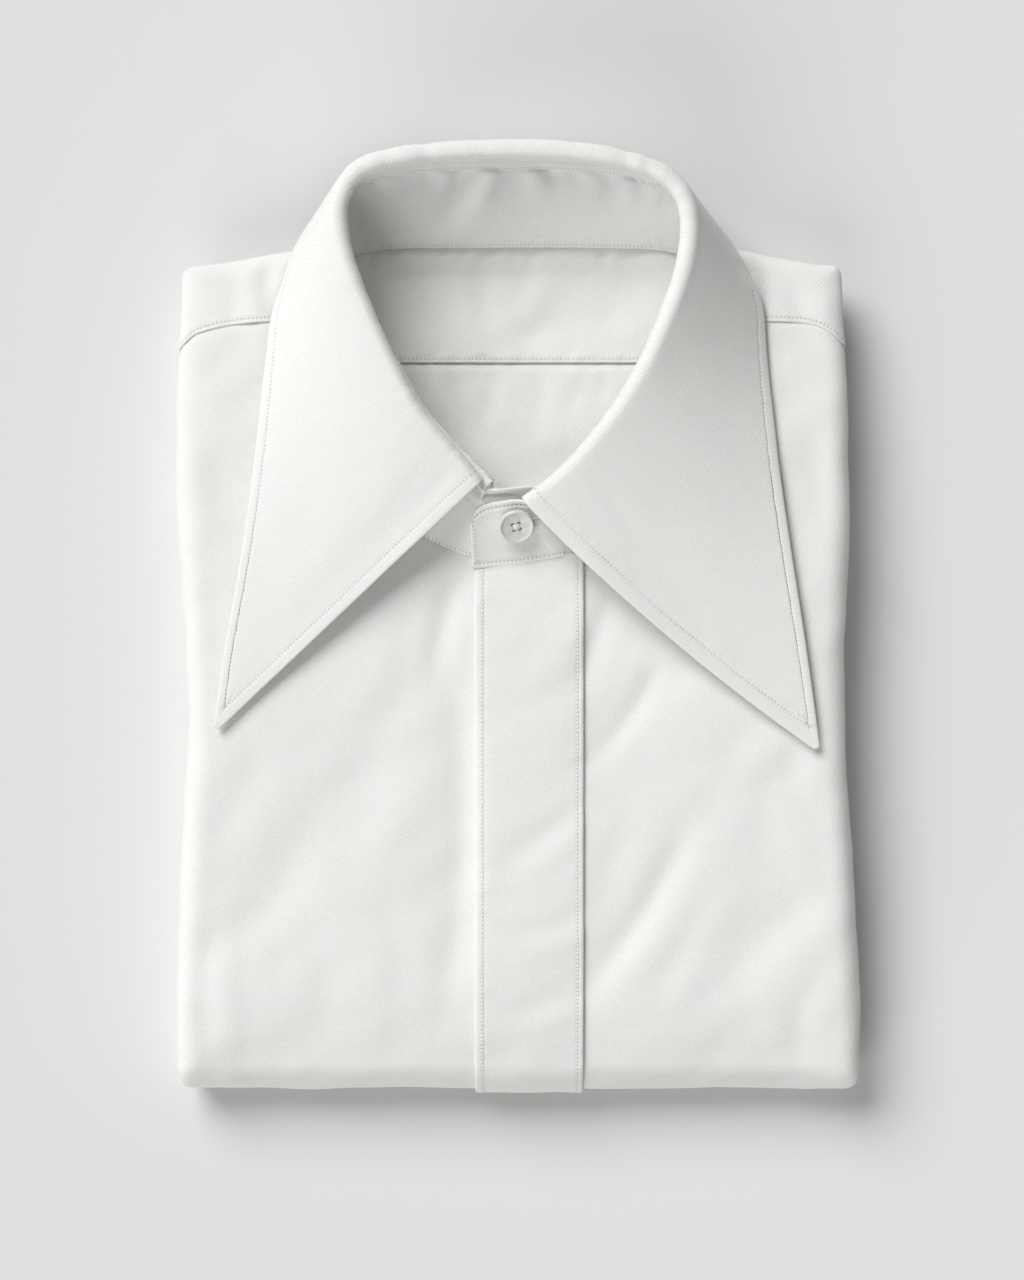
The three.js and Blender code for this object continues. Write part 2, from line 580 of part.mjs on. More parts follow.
function yokeGeometry() {
  const wing = [0.5, 1];
  const starts = [];
  const outside = (side) => curve(OUTLINE, side < 0 ? "left" : "right", "y", WING_Y) - SIDE_ROUND;
  for (const share of wing.slice().reverse()) {
    starts.push({ x: -lerp(NECK.halfWidth + NECK_EDGE, outside(-1), share) });
  }
  starts.push({ x: -NECK.halfWidth - NECK_EDGE });
  starts.push(...steps(108, 252, 12).map(neckEdge));
  starts.push({ x: NECK.halfWidth + NECK_EDGE });
  for (const share of wing) {
    starts.push({ x: lerp(NECK.halfWidth + NECK_EDGE, outside(1), share) });
  }
  const columns = starts.map(({ x, y = curve(YOKE_SEAM, "y", "x", x) + SEAM_GAP / 2 }) => ({
    u: acrossAt(x, y),
    v: alongAt(x, y),
  }));
  columns[0].u = -1;
  columns[columns.length - 1].u = 1;
  const turns = SIDE_ROUND_STEPS.slice(0, SIDE_STEPS - 1);
  const round = (side) =>
    turns.map((turn) => ({ u: side * (1 + turn), v: wingSeam(side, turn) - WING_GAP / 2 }));
  const left = round(-1).reverse();
  const right = round(1);
  const all = [...left, ...columns, ...right];
  const turnedIn = -(SIDE_TURN * END_LENGTH * (END_STEPS - 1)) / END_STEPS;
  const flatFrom = (v) => Math.min(0, v - YOKE_BACK_STRIP);
  const layer = (lift) => [
    ...steps(0, 1, END_STEPS - 1).map((share) =>
      all.map(({ u, v }) => skin(u, lerp(turnedIn, flatFrom(v), share), lift)),
    ),
    ...steps(0, 1, 4).slice(1).map((share) =>
      all.map(({ u, v }) => skin(u, lerp(flatFrom(v), v, share), lift)),
    ),
  ];
  return solidBetween(layer(0), layer(-CLOTH));
}

addPiece("yoke", yokeGeometry(), 0xf0f0ee);

// A panel inside the neck between two lines of Y at each X.
function insideNeck(fromY, toY, rows) {
  const layer = (lift) =>
    steps(0, 1, rows).map((share) =>
      NECK_STATIONS.map((x) => {
        const y = lerp(fromY(x), toY(x), share);
        return new THREE.Vector3(x, y, basin(x, y) + lift);
      }),
    );
  return solidBetween(layer(0), layer(-CLOTH));
}

const backSeam = SEAM_GAP / 2;
addPiece("yoke_lining", insideNeck(() => NECK.centreY + backSeam, (x) => neckBackY(x, 2), 7), 0xe9e9e7);
addPiece("back_inside", insideNeck((x) => neckFrontY(x, 2), () => NECK.centreY - backSeam, 10), 0xe6e6e4);

// ---- the collar stand ----

function collarRow(place) {
  const row = {};
  for (const key of ["seam", "rollX", "rollY", "rollZ", "edgeX", "edgeY", "bow"]) {
    row[key] = column(COLLAR, key, place);
  }
  const edgeHeights = COLLAR.map((entry) => ({
    z: entry.hang ?? topFace(entry.edgeX, entry.edgeY) + entry.rest,
  }));
  row.edgeZ = column(edgeHeights, "z", place);
  return row;
}

// The foot and the head of the stand at a place round the collar.
function standLine({ seam, rollX, rollY, rollZ }) {
  const foot = neckSeam(seam);
  const backShare = rise(180 - Math.abs(180 - seam), 75, 125);
  const height = topFace(foot.x, foot.y) + lerp(-1, 1.6, backShare);
  return [new THREE.Vector3(foot.x, foot.y, height), new THREE.Vector3(rollX, rollY, rollZ)];
}

function endLine({ baseX, baseY, baseZ, topX, topY, topZ }) {
  return [new THREE.Vector3(baseX, baseY, baseZ), new THREE.Vector3(topX, topY, topZ)];
}

const COLLAR_PLACES = steps(0, COLLAR.length - 1, 42);

function standGeometry() {
  const ring = COLLAR_PLACES.map((place) => standLine(collarRow(place)));
  const lines = [...UNDER_END.map(endLine), ...ring, ...TAB_END.map(endLine)];
  const grid = steps(0, 1, 3).map((share) => lines.map(([foot, head]) => foot.clone().lerp(head, share)));
  return wallAbout(grid, STAND_WALL);
}

addPiece("collar_stand", standGeometry(), 0xf4f4f2);

// ---- the collar fall ----

// One section of the fall: up the inside of the stand, round its head, and out to the fall's edge.
function fallSection(place) {
  const row = collarRow(place);
  const [foot, roll] = standLine(row);
  const before = collarRow(Math.max(0, place - 0.1));
  const after = collarRow(Math.min(COLLAR.length - 1, place + 0.1));
  const run = new THREE.Vector3(after.rollX - before.rollX, after.rollY - before.rollY, 0).normalize();
  const outward = new THREE.Vector3(-run.y, run.x, 0);
  const edge = new THREE.Vector3(row.edgeX, row.edgeY, row.edgeZ);
  const stand = roll.clone().sub(foot);
  const standAngle = Math.atan2(stand.z, stand.dot(outward));
  const fall = edge.clone().sub(roll);
  const fallAngle = Math.atan2(fall.z, Math.hypot(fall.x, fall.y));
  const onRoll = (angle) =>
    roll
      .clone()
      .addScaledVector(outward, ROLL_RADIUS * Math.cos(angle))
      .add(new THREE.Vector3(0, 0, ROLL_RADIUS * Math.sin(angle)));
  const startAngle = standAngle + Math.PI / 2;
  const endAngle = fallAngle + Math.PI / 2;
  const points = steps(startAngle, endAngle, 5).map(onRoll);
  const inside = points[0].clone().addScaledVector(stand.clone().normalize(), -FALL_TURN_IN);
  const start = points[points.length - 1];
  const reach = start.distanceTo(edge);
  const lie = clamp((reach - LEAF_REACH.from) / LEAF_REACH.over, 0, 1);
  const edgeLift = FALL_LIFT.edge - FALL_LIFT.lie * lie;
  const aside = new THREE.Vector3(run.x, run.y, 0).multiplyScalar(row.bow * 1.35);
  const path = new THREE.CubicBezierCurve3(
    start,
    start.clone().lerp(edge, 1 / 3).add(aside).add(new THREE.Vector3(0, 0, FALL_LIFT.start)),
    start.clone().lerp(edge, 2 / 3).add(aside).add(new THREE.Vector3(0, 0, edgeLift)),
    edge,
  );
  return [inside, ...points, ...path.getPoints(6).slice(1)];
}

function fallGeometry() {
  return wallAbout(COLLAR_PLACES.map(fallSection), FALL_WALL);
}

addPiece("collar_fall", fallGeometry(), 0xfafaf8);

// ---- the collar button ----

function buttonGeometry() {
  const { radius, thickness, rim, dish, rounding, slope, holeRadius, holeSpacing } = BUTTON;
  const profile = [
    [0, 0],
    [radius - rounding, 0],
    [radius, rounding],
    [radius, thickness - slope],
    [radius - slope, thickness],
    [radius - rim, thickness],
    [radius - rim - slope, thickness - dish],
    [0, thickness - dish],
  ].map(([x, y]) => new THREE.Vector2(x, y));
  const lathe = new THREE.LatheGeometry(profile, 24).deleteAttribute("normal").deleteAttribute("uv");
  let body = lathe.rotateX(Math.PI / 2);
  body = closedGeometry(pointsOf(body), Array.from(body.index.array));
  for (const angle of [45, 135, 225, 315]) {
    const turn = THREE.MathUtils.degToRad(angle);
    const hole = new THREE.CylinderGeometry(holeRadius, holeRadius, 8, 8).rotateX(Math.PI / 2);
    hole.translate(holeSpacing * Math.cos(turn), holeSpacing * Math.sin(turn), 0);
    body = cut(body, closedGeometry(pointsOf(hole), Array.from(hole.index.array)));
  }
  return body;
}

function pointsOf(geometry) {
  const position = geometry.getAttribute("position");
  const point = (_, index) => new THREE.Vector3().fromBufferAttribute(position, index);
  return Array.from({ length: position.count }, point);
}

// The button lies on the tab, tilted as the tab is.
function placeButton() {
  const [foot, head] = endLine(TAB_END[1]);
  const [nextFoot, nextHead] = endLine(TAB_END[0]);
  const { upTab, alongTab } = BUTTON;
  const middle = foot.clone().lerp(head, upTab).lerp(nextFoot.clone().lerp(nextHead, upTab), alongTab);
  const up = head.clone().sub(foot).normalize();
  const over = nextFoot.clone().sub(foot).normalize();
  const normal = over.clone().cross(up).normalize();
  const right = up.clone().cross(normal);
  const button = group.getObjectByName("collar_button");
  button.matrix.makeBasis(right, up, normal);
  button.quaternion.setFromRotationMatrix(button.matrix);
  button.position.copy(middle).addScaledVector(normal, STAND_WALL / 2 + BUTTON.seat);
}

addPiece("collar_button", buttonGeometry(), 0xf3f2ee, 0.3);
placeButton();

export default group;
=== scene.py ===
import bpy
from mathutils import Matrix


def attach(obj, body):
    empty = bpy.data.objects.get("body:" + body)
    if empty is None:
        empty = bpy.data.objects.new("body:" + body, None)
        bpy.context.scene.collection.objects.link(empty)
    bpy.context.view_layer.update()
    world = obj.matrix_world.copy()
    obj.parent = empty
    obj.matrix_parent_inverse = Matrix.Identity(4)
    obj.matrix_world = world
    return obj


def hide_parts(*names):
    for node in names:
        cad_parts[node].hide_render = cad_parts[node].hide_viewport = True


bl_info = {
    "name": "Folded dress shirt",
    "version": (1, 0, 0),
    "blender": (4, 5, 0),
    "location": "3D View > Sidebar > Shirt",
    "description": "Dresses the packed frame of a folded dress shirt with cloth, seams, stitches and a collar button",
    "category": "Object",
}

import math

import bpy
import numpy as np
from bpy.props import FloatProperty, FloatVectorProperty, PointerProperty
from mathutils import Matrix, Vector

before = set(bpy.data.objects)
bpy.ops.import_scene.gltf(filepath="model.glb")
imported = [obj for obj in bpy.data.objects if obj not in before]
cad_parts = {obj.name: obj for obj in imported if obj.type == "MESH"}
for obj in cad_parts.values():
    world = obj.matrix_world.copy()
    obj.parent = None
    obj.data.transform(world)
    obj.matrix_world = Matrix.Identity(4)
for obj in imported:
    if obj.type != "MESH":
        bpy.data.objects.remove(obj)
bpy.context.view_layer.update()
MM = 0.001

# ---- the folded shirt's form, in millimetres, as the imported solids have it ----

PANEL = 0.7  # thickness that the cloth of a panel shows
PLACKET_THICK = 0.75
FALL_THICK = 1.15
STAND_THICK = 1.0
SEAM_GAP = 0.4
TAIL_HEIGHT = 13.0
SIDE_ROUND = 8.6
END_ROUND = 7.0
BEND_REACH = 0.95  # how far the bottom fold bulges and how much its lower half sags, as shares of its radius
BEND_DROOP = 0.24
FLAT_START = 120.0
FLAT_STOP = -154.5
TAIL_INSET = 2.0
ROUND_POWER = 2.3
CORNER_POWER = 3.6
CROWN_DROP = 1.2
CROWN_HALF = 118.0
BLEND_FROM = 60.0
BLEND_TO = 116.0
TAIL_SHORT = 5.0
WING_Y = 96.0
PLACKET_LEFT = -14.8
PLACKET_RIGHT = 22.5
FRONT_EDGE = 4.0
MIDDLE_SHIFT = 1.83
NECK_HALF = 71.0
NECK_Y = 88.8
NECK_FRONT = 69.7
NECK_BACK = 40.3
NECK_POWER = 5.5
BASIN_FLOOR = 20.0
TURN_IN = 0.8
BEND_LENGTH = 50.0
END_LENGTH = 12.0
FRONT_LENGTH = FLAT_START - FLAT_STOP
BENEATH = FRONT_LENGTH + BEND_LENGTH


def table(names, *rows):
    """Named columns from rows of numbers."""
    return {name: np.array([row[i] for row in rows], float) for i, name in enumerate(names.split())}


OUTLINE = table(
    "y left right",
    (122, 116.4, 112.2),
    (93, 117.5, 113.7),
    (45, 118.6, 114.8),
    (10, 116.8, 114.2),
    (-29, 114.3, 112.8),
    (-69, 115.8, 114.9),
    (-100, 117.6, 116.9),
    (-135, 118.1, 118.5),
    (-165, 117.8, 118.6),
)
TOP_FACE = table(
    "y z", (130, 23.5), (100, 26.5), (60, 29), (0, 30.5), (-112, 30.5), (-133, 30), (-145, 28.3), (-155, 25.8)
)
SHOULDER = table("x y", (0, 134), (45, 133), (74, 128.6), (95, 124.6), (119, 120.6))
YOKE_SEAM = table(
    "x y", (-118, 93), (-112, 98.6), (-100, 101.7), (-85, 103), (85, 103), (99, 102.5), (107, 100.2), (114, 94.5)
)
# Broad troughs in the top face, each from one plan point to another, with its width and depth.
TROUGHS = (
    (34, 5, 24, -22, 9, 0.9),
    (46, -22, 26, -50, 9, 0.8),
    (52, -84, 25, -126, 10, 1.1),
    (90, -103, 68, -127, 12, 0.6),
    (-20, 24, -28, -14, 10, 1.0),
    (-21, -30, -24, -130, 9, 0.6),
    (-108, -117, -110, -138, 8, 0.8),
    (-60, -60, -98, -112, 14, 0.6),
)
# Round the collar from the left leaf's front edge: place on the neck seam, the roll, the fall's edge, how far the
# leaf's edge lies over the cloth or, where it hangs, its height less 100, and the bow of its line.
COLLAR = table(
    "seam roll_x roll_y roll_z edge_x edge_y lie bow",
    (10, -12.4, 43.4, 43, -104.1, -38.4, 1.5, 0),
    (24, -19, 51.7, 44, -100.6, -12.6, 1.5, 0),
    (39, -26.8, 60.6, 45, -95.8, 13.3, 1.5, 0),
    (55, -36.1, 72.2, 46.5, -91.7, 39.1, 1.5, 0),
    (71, -44.2, 87.4, 48, -88.3, 66.7, 1.6, 0),
    (86, -52, 104.6, 50, -85.7, 88.5, 1.7, 0),
    (101, -58.4, 121.3, 52, -83.5, 105.1, 1.9, 0),
    (116, -61.1, 134.5, 53, -80.1, 116.2, 2.6, 0),
    (129, -60.2, 143.7, 54, -75.6, 128.7, 125.5, 0),
    (141, -54.7, 151.9, 54.5, -68, 139, 119.5, 0),
    (153, -44.2, 156, 55, -53.5, 153.7, 113, 0),
    (167, -26.5, 158.4, 55, -30.5, 160.4, 109.5, 0),
    (180, -1.1, 159.1, 55, -1, 161.4, 108, 0),
    (193, 24.4, 157.7, 55, 28.5, 159.8, 109.5, 0),
    (207, 42.4, 153.8, 54.5, 50, 152.8, 113.5, 0),
    (219, 52.3, 148.5, 54, 61.5, 141.2, 120, 0),
    (231, 57.4, 140.8, 53.5, 71.4, 130.2, 125.5, 0),
    (244, 58.5, 130, 52.5, 78.1, 117.6, 2.6, 0),
    (259, 56, 115.9, 51.5, 82.9, 107.9, 1.9, 0),
    (274, 50.7, 101.2, 50, 84.5, 92.6, 1.7, 0),
    (289, 44, 86.1, 48.5, 86.2, 75.3, 1.6, 0),
    (305, 35.1, 71.1, 47, 88.9, 51.2, 1.5, 0.6),
    (321, 24.7, 57.9, 46, 93, 23.6, 1.5, 1.4),
    (336, 14.7, 47.6, 44.5, 98.5, -10.9, 1.5, 2.4),
    (348, 3.7, 39.4, 43.5, 103.4, -45.3, 1.5, 3.2),
)
LAST_PLACE = 24.0
# Ends of the stand in front of the leaves, as lines from foot to head.
UNDER_END = (((14, 27, 28.6), (14, 43.8, 38.4)), ((2, 25.2, 28.8), (4, 44.6, 39.8)))
TAB_END = (
    ((11, 20.2, 31.9), (0, 40.2, 42.9)),
    ((0.5, 18.3, 31.7), (-5, 39.6, 42.3)),
    ((-10, 17.2, 31.6), (-11, 38.5, 41.4)),
    ((-14, 16.8, 31.6), (-14.7, 36.1, 40.4)),
    ((-15.6, 17.2, 31.7), (-16.4, 31.6, 38.2)),
)
BUTTON_SEAT = 0.6
BUTTON_STAND_WALL = 1.4


def lerp(a, b, share):
    return a + (b - a) * share


def rise(value, low, high):
    """0 below low, 1 above high and a smooth step between them."""
    share = np.clip((value - low) / (high - low), 0, 1)
    return share * share * (3 - 2 * share)


def hump(gap, width=1.0):
    """1 on a line, falling to either side of it."""
    return np.exp(-((gap / width) ** 2))


def column(values, place):
    """A smooth curve through a column of numbers, read at a place that may be a fraction of a row."""
    place = np.asarray(place, float)
    last = len(values) - 1
    index = np.clip(np.floor(place).astype(int), 0, last - 1)
    share = np.clip(place - index, 0, 1)
    a, b = values[index], values[index + 1]
    before = np.where(index > 0, values[np.maximum(index - 1, 0)], 2 * a - b)
    after = np.where(index + 2 <= last, values[np.minimum(index + 2, last)], 2 * b - a)
    square, cube = share**2, share**3
    start = (2 * cube - 3 * square + 1) * a + (cube - 2 * square + share) * (b - before) / 2
    return start + (3 * square - 2 * cube) * b + (cube - square) * (after - a) / 2


def curve(rows, key, by, value):
    """The same curve read at a value of another column."""
    value = np.asarray(value, float)
    marks = rows[by]
    sign = -1 if marks[0] > marks[1] else 1
    index = np.searchsorted(sign * marks[1:-1], sign * value)
    share = (value - marks[index]) / (marks[index + 1] - marks[index])
    return column(rows[key], index + np.clip(share, 0, 1))


def trough_depth(x, y):
    depth = 0
    for x1, y1, x2, y2, width, deepest in TROUGHS:
        length = math.hypot(x2 - x1, y2 - y1)
        along = ((x - x1) * (x2 - x1) + (y - y1) * (y2 - y1)) / length
        past = np.maximum(0, np.maximum(-along, along - length))
        aside = ((x - x1) * (y2 - y1) - (y - y1) * (x2 - x1)) / length
        depth = depth + deepest * np.exp(-((aside / width) ** 2) - (past / (1.5 * width)) ** 2)
    return depth


def top_face(x, y):
    return curve(TOP_FACE, "z", "y", y) - CROWN_DROP * (x / CROWN_HALF) ** 4 - trough_depth(x, y)


def reach_to(side, y):
    return curve(OUTLINE, "left" if side < 0 else "right", "y", y) - SIDE_ROUND


def on_surface(u, v):
    """A point on the outside of the folded cloth, from how far across and how far along it is."""
    u, v = np.broadcast_arrays(np.asarray(u, float), np.asarray(v, float))
    bend = np.pi * np.clip((v - FRONT_LENGTH) / BEND_LENGTH, 0, 1)
    toward_tail = (1 - np.cos(bend)) / 2
    beneath = v > FRONT_LENGTH + BEND_LENGTH / 2
    nominal = np.where(beneath, FLAT_STOP + np.maximum(0, v - BENEATH), FLAT_START - np.clip(v, 0, FRONT_LENGTH))
    flat_y = np.minimum(nominal, FLAT_START)
    end_turns = np.maximum(0, np.maximum(-v, v - BENEATH - FRONT_LENGTH) / END_LENGTH)
    side_turns = np.maximum(0, np.abs(u) - 1)
    inset = TAIL_INSET * toward_tail
    flat_x = lerp(-(reach_to(-1, flat_y) - inset), reach_to(1, flat_y) - inset, (np.clip(u, -1, 1) + 1) / 2)
    shoulder = curve(SHOULDER, "y", "x", np.abs(flat_x)) - END_ROUND - FLAT_START
    y = flat_y + (shoulder - TAIL_SHORT * toward_tail) * rise(flat_y, BLEND_FROM, BLEND_TO)
    height = lerp(top_face(flat_x, y) - TAIL_HEIGHT, TAIL_HEIGHT, toward_tail)
    power = lerp(ROUND_POWER, CORNER_POWER, np.sin(bend))
    turn = (np.pi / 2) * np.maximum(side_turns, end_turns)
    corner = (side_turns**4 + end_turns**4) ** 0.25
    corner = np.where(corner > 0, corner, 1)
    out = np.maximum(np.sin(turn), 0) ** (2 / power)
    up = np.sign(np.cos(turn)) * np.abs(np.cos(turn)) ** (2 / power)
    radius = (height / 2) * (1 + up) * (1 - BEND_DROOP * np.sin(bend))
    return np.stack(
        [
            flat_x + np.sign(u) * SIDE_ROUND * out * side_turns / corner,
            y + END_ROUND * out * end_turns / corner - BEND_REACH * radius * np.sin(bend),
            TAIL_HEIGHT + radius * np.cos(bend),
        ],
        axis=-1,
    )


def unit(vectors):
    return vectors / np.maximum(np.linalg.norm(vectors, axis=-1, keepdims=True), 1e-12)


def skin_normal(u, v):
    across = on_surface(u + 0.004, v) - on_surface(u - 0.004, v)
    along = on_surface(u, v + 0.3) - on_surface(u, v - 0.3)
    return unit(np.cross(along, across))


def skin(u, v, lift):
    """The same point moved out along the cloth's normal."""
    return on_surface(u, v) + skin_normal(u, v) * np.asarray(lift, float)[..., None]


def across_at(x, y):
    left, right = -reach_to(-1, y), reach_to(1, y)
    return 2 * (x - left) / (right - left) - 1


def along_at(x, y):
    shoulder = curve(SHOULDER, "y", "x", np.abs(x)) - END_ROUND - FLAT_START
    flat_y = y
    for _ in range(12):
        flat_y = y - shoulder * rise(flat_y, BLEND_FROM, BLEND_TO)
    return FLAT_START - flat_y


def neck_seam(angle):
    turn = np.radians(angle)
    back = np.cos(turn) < 0
    share = np.where(back, 2 / NECK_POWER, 1)
    x = -NECK_HALF * np.sign(np.sin(turn)) * np.abs(np.sin(turn)) ** share
    reach = np.abs(np.cos(turn)) ** share
    return x, NECK_Y + np.where(back, NECK_BACK, -NECK_FRONT) * reach


def neck_front_y(x, inset):
    half = NECK_HALF - inset
    return NECK_Y - (NECK_FRONT - inset) * np.sqrt(np.maximum(0, 1 - (x / half) ** 2))


def neck_back_y(x, inset):
    half = NECK_HALF - inset
    return NECK_Y + (NECK_BACK - inset) * np.maximum(0, 1 - np.abs(x / half) ** NECK_POWER) ** (1 / NECK_POWER)


def neck_share(x, y):
    """0 in the middle of the neck and 1 on its seam."""
    back = y > NECK_Y
    along = np.abs(y - NECK_Y) / np.where(back, NECK_BACK, NECK_FRONT)
    power = np.where(back, NECK_POWER, 2)
    return (along**power + (np.abs(x) / NECK_HALF) ** power) ** (1 / power)


def basin(x, y):
    rim = curve(TOP_FACE, "z", "y", y) - lerp(4, 0.2, rise(y, 75, 110))
    return lerp(BASIN_FLOOR, rim, rise(neck_share(x, y), 0.72, 1))


def collar_row(place):
    row = {key: column(values, place) for key, values in COLLAR.items() if key != "lie"}
    lies = COLLAR["lie"] < 50
    heights = np.where(lies, top_face(COLLAR["edge_x"], COLLAR["edge_y"]) + COLLAR["lie"], COLLAR["lie"] - 100)
    row["edge_z"] = column(heights, place)
    return row


def roll_radius(place):
    """Radius of the fall's fold: tight in front, fuller at the back."""
    return lerp(1.2, 1.7, rise(place, 4.5, 8)) + 0.2 * rise(place, 15, 18) - 0.4 * rise(place, 21, 24)


def wing_seam(side, turns):
    """How far along a wing's seam lies where it goes round a side fold."""
    outer = float(reach_to(side, WING_Y))
    out = np.sin((np.pi / 2) * np.minimum(turns, 1)) ** (2 / ROUND_POWER)
    y = curve(YOKE_SEAM, "y", "x", side * (outer + SIDE_ROUND * out)) - 5 * np.maximum(0, turns - 0.9)
    return along_at(np.full_like(y, side * outer), y)


def stand_line(row):
    """Foot and head of the stand at a place round the collar."""
    x, y = neck_seam(row["seam"])
    back = rise(180 - np.abs(180 - row["seam"]), 75, 125)
    on_placket = rise(row["seam"], 325, 340) * (1 - rise(x, 16, 27))
    foot = np.stack([x, y, top_face(x, y) + lerp(0.2, 1.6, back) + 2.2 * on_placket], axis=-1)
    return foot, np.stack([row["roll_x"], row["roll_y"], row["roll_z"]], axis=-1)


# ---- soft relief of the cloth ----

# Creases, each from one plan point by a second to a third, with its width, its depth and the share of it that is
# heaped up beside it on the far side from the light.
CREASES = (
    (31, 8, 27, -6, 20, -24, 4.0, 0.8, 0.08),
    (48, -14, 40, -32, 24, -50, 3.8, 0.85, 0.08),
    (60, -4, 54, -22, 40, -44, 8.0, 0.45, 0.2),
    (57, -76, 42, -104, 22, -130, 4.6, 1.05, 0.1),
    (70, -92, 56, -114, 46, -140, 5.0, 0.4, 0.15),
    (98, -98, 84, -112, 68, -128, 6.5, 0.6, 0.2),
    (106, -34, 90, -62, 82, -92, 8.0, 0.55, 0.2),
    (78, -20, 72, -50, 56, -78, 8.0, 0.5, 0.2),
    (44, -56, 34, -80, 30, -104, 6.0, 0.45, 0.2),
    (106, -122, 98, -136, 98, -150, 5.0, 0.45, 0.2),
    (-20, 14, -25, 2, -29, -20, 4.4, 1.1, 0.2),
    (-32, 8, -39, -6, -41, -28, 6.0, 0.5, 0.25),
    (-21, -26, -19, -76, -24, -132, 5.0, 0.95, 0.25),
    (-38, -26, -54, -60, -60, -102, 8.5, 0.6, 0.2),
    (-60, -52, -80, -84, -102, -110, 8.5, 0.65, 0.2),
    (-86, -44, -98, -68, -108, -92, 6.5, 0.45, 0.2),
    (-108, -112, -110, -126, -109, -142, 4.6, 0.8, 0.25),
    (-72, -104, -66, -126, -70, -150, 6.5, 0.45, 0.2),
    (-46, -96, -40, -122, -44, -150, 6.0, 0.45, 0.2),
    (-94, 78, -100, 50, -97, 16, 7.0, 0.45, 0.2),
    (99, 84, 104, 56, 100, 22, 7.0, 0.4, 0.2),
)
PLACKET_CREASES = (
    (21, -64, 10, -74, -4, -84, 4.2, 0.65, 0.5),
    (22, -101, 10, -107, -8, -107, 4.0, 0.65, 0.5),
    (20, -126, 8, -133, -8, -136, 4.2, 0.65, 0.5),
    (17, -18, 8, -28, -8, -34, 5.0, 0.32, 0.4),
    (18, 4, 6, 0, -8, 2, 4.0, 0.25, 0.4),
)


def swell(x, y, seed, low, high, size, lean=None):
    """Soft uneven rises and hollows: waves of seeded length, bearing and phase, low to high millimetres long."""
    draw = np.random.default_rng(seed)
    total = 0
    for _ in range(14):
        bearing = draw.uniform(0, math.pi) if lean is None else draw.normal(lean, 0.35)
        count = 2 * math.pi / draw.uniform(low, high)
        total = total + np.sin(count * (x * math.cos(bearing) + y * math.sin(bearing)) + draw.uniform(0, 6.3))
    return total * size / 14**0.5


def crease_relief(x, y, creases):
    """Height of creases at plan points."""
    height = np.zeros(np.shape(x))
    for x1, y1, x2, y2, x3, y3, width, depth, heap in creases:
        near, side, where = np.full(np.shape(x), 1e9), np.zeros(np.shape(x)), np.zeros(np.shape(x))
        share = np.linspace(0, 1, 9)
        ways = ((x1, x2, x3), (y1, y2, y3))
        px, py = (
            (1 - share) ** 2 * one + 2 * share * (1 - share) * (2 * two - (one + three) / 2) + share**2 * three
            for one, two, three in ways
        )
        for k in range(8):
            dx, dy = px[k + 1] - px[k], py[k + 1] - py[k]
            length = math.hypot(dx, dy)
            along = np.clip(((x - px[k]) * dx + (y - py[k]) * dy) / length**2, 0, 1)
            away = np.hypot(x - px[k] - along * dx, y - py[k] - along * dy)
            closer = away < near
            near = np.where(closer, away, near)
            side = np.where(closer, np.sign((x - px[k]) * dy - (y - py[k]) * dx), side)
            where = np.where(closer, (k + along) / 8, where)
        if x3 < x1:
            side = -side
        aside = near * side / width
        fade = np.sin(np.pi * np.clip(where * 0.86 + 0.07, 0, 1)) ** 0.8
        height += depth * fade * (heap * hump(aside - 1.7) - hump(aside))
    return height


def ripples(run, seed, pitch):
    """Uneven puckers along a seam, each about pitch millimetres long, from -1 to 1."""
    draw = np.random.default_rng(seed)
    total = 0
    for share in (0.62, 0.8, 1.0, 1.27, 1.7):
        total = total + np.sin(2 * math.pi * run / (pitch * share) + draw.uniform(0, 6.3)) * draw.uniform(0.6, 1)
    return total / 2.6


def line_distance(points, line):
    """Each point's distance from a line of points, and how far along the line it is nearest."""
    flat = points.reshape(-1, 3)
    near, run = np.full(len(flat), 1e9), np.zeros(len(flat))
    start = 0.0
    for a, b in zip(line[:-1], line[1:]):
        step = b - a
        length = float(np.linalg.norm(step))
        if length < 1e-9:
            continue
        along = np.clip((flat - a) @ step / length**2, 0, 1)
        away = np.linalg.norm(flat - a - along[:, None] * step, axis=1)
        closer = away < near
        near = np.where(closer, away, near)
        run = np.where(closer, start + along * length, run)
        start += length
    return near.reshape(points.shape[:-1]), run.reshape(points.shape[:-1])


def hem(distance, margin, puff, groove):
    """Rise of cloth beside a turned and stitched edge: full up to the stitch row, drawn in at it."""
    inside = np.clip(distance / margin, 0, 1)
    full = puff * (1 - (2 * inside - 1) ** 4) * (distance < margin)
    return full - groove * hump(distance - margin, 0.55)


# ---- meshes ----

FAR = 60.0  # stands for no stitch row near
# Seam-shade distance that stands for no painted shade line near.
NO_SEAM_SHADE = 3.0
STITCH_PITCH = 1.4
STITCH_HALF = 0.39  # half a stitch's length, as a share of the pitch
STITCH_RADIUS = 0.175
FINE_STITCH = 0.16
STITCH_LIFT = 0.1
STITCH_CORNERS = 6
# Rings along one stitch: place as a share of its half length, thickness as a share of its radius, and its height.
STITCH_RINGS = (
    (-1.0, 0.35, -0.26),
    (-0.8, 0.8, -0.08),
    (-0.35, 1.0, 0.05),
    (0.35, 1.0, 0.05),
    (0.8, 0.8, -0.08),
    (1.0, 0.35, -0.26),
)
# Rims round a cloth's edge: how far out and how far down, as shares of its thickness.
ROUND_EDGE = ((0.32, 0.2), (0.45, 0.5), (0.32, 0.8))
TWO_PLY_EDGE = ((0.26, 0.14), (0.3, 0.34), (0.1, 0.48), (0.66, 0.6), (0.76, 0.8), (0.5, 0.96))
# Painted shade: the material darkens the rims nearest the line between the plies, as a shade line between them.
TWO_PLY_SEAM_SHADE = (0.6, 0.3, 0.0, 0.3, 0.6, 0.6)  # each rim's distance from the line between the plies


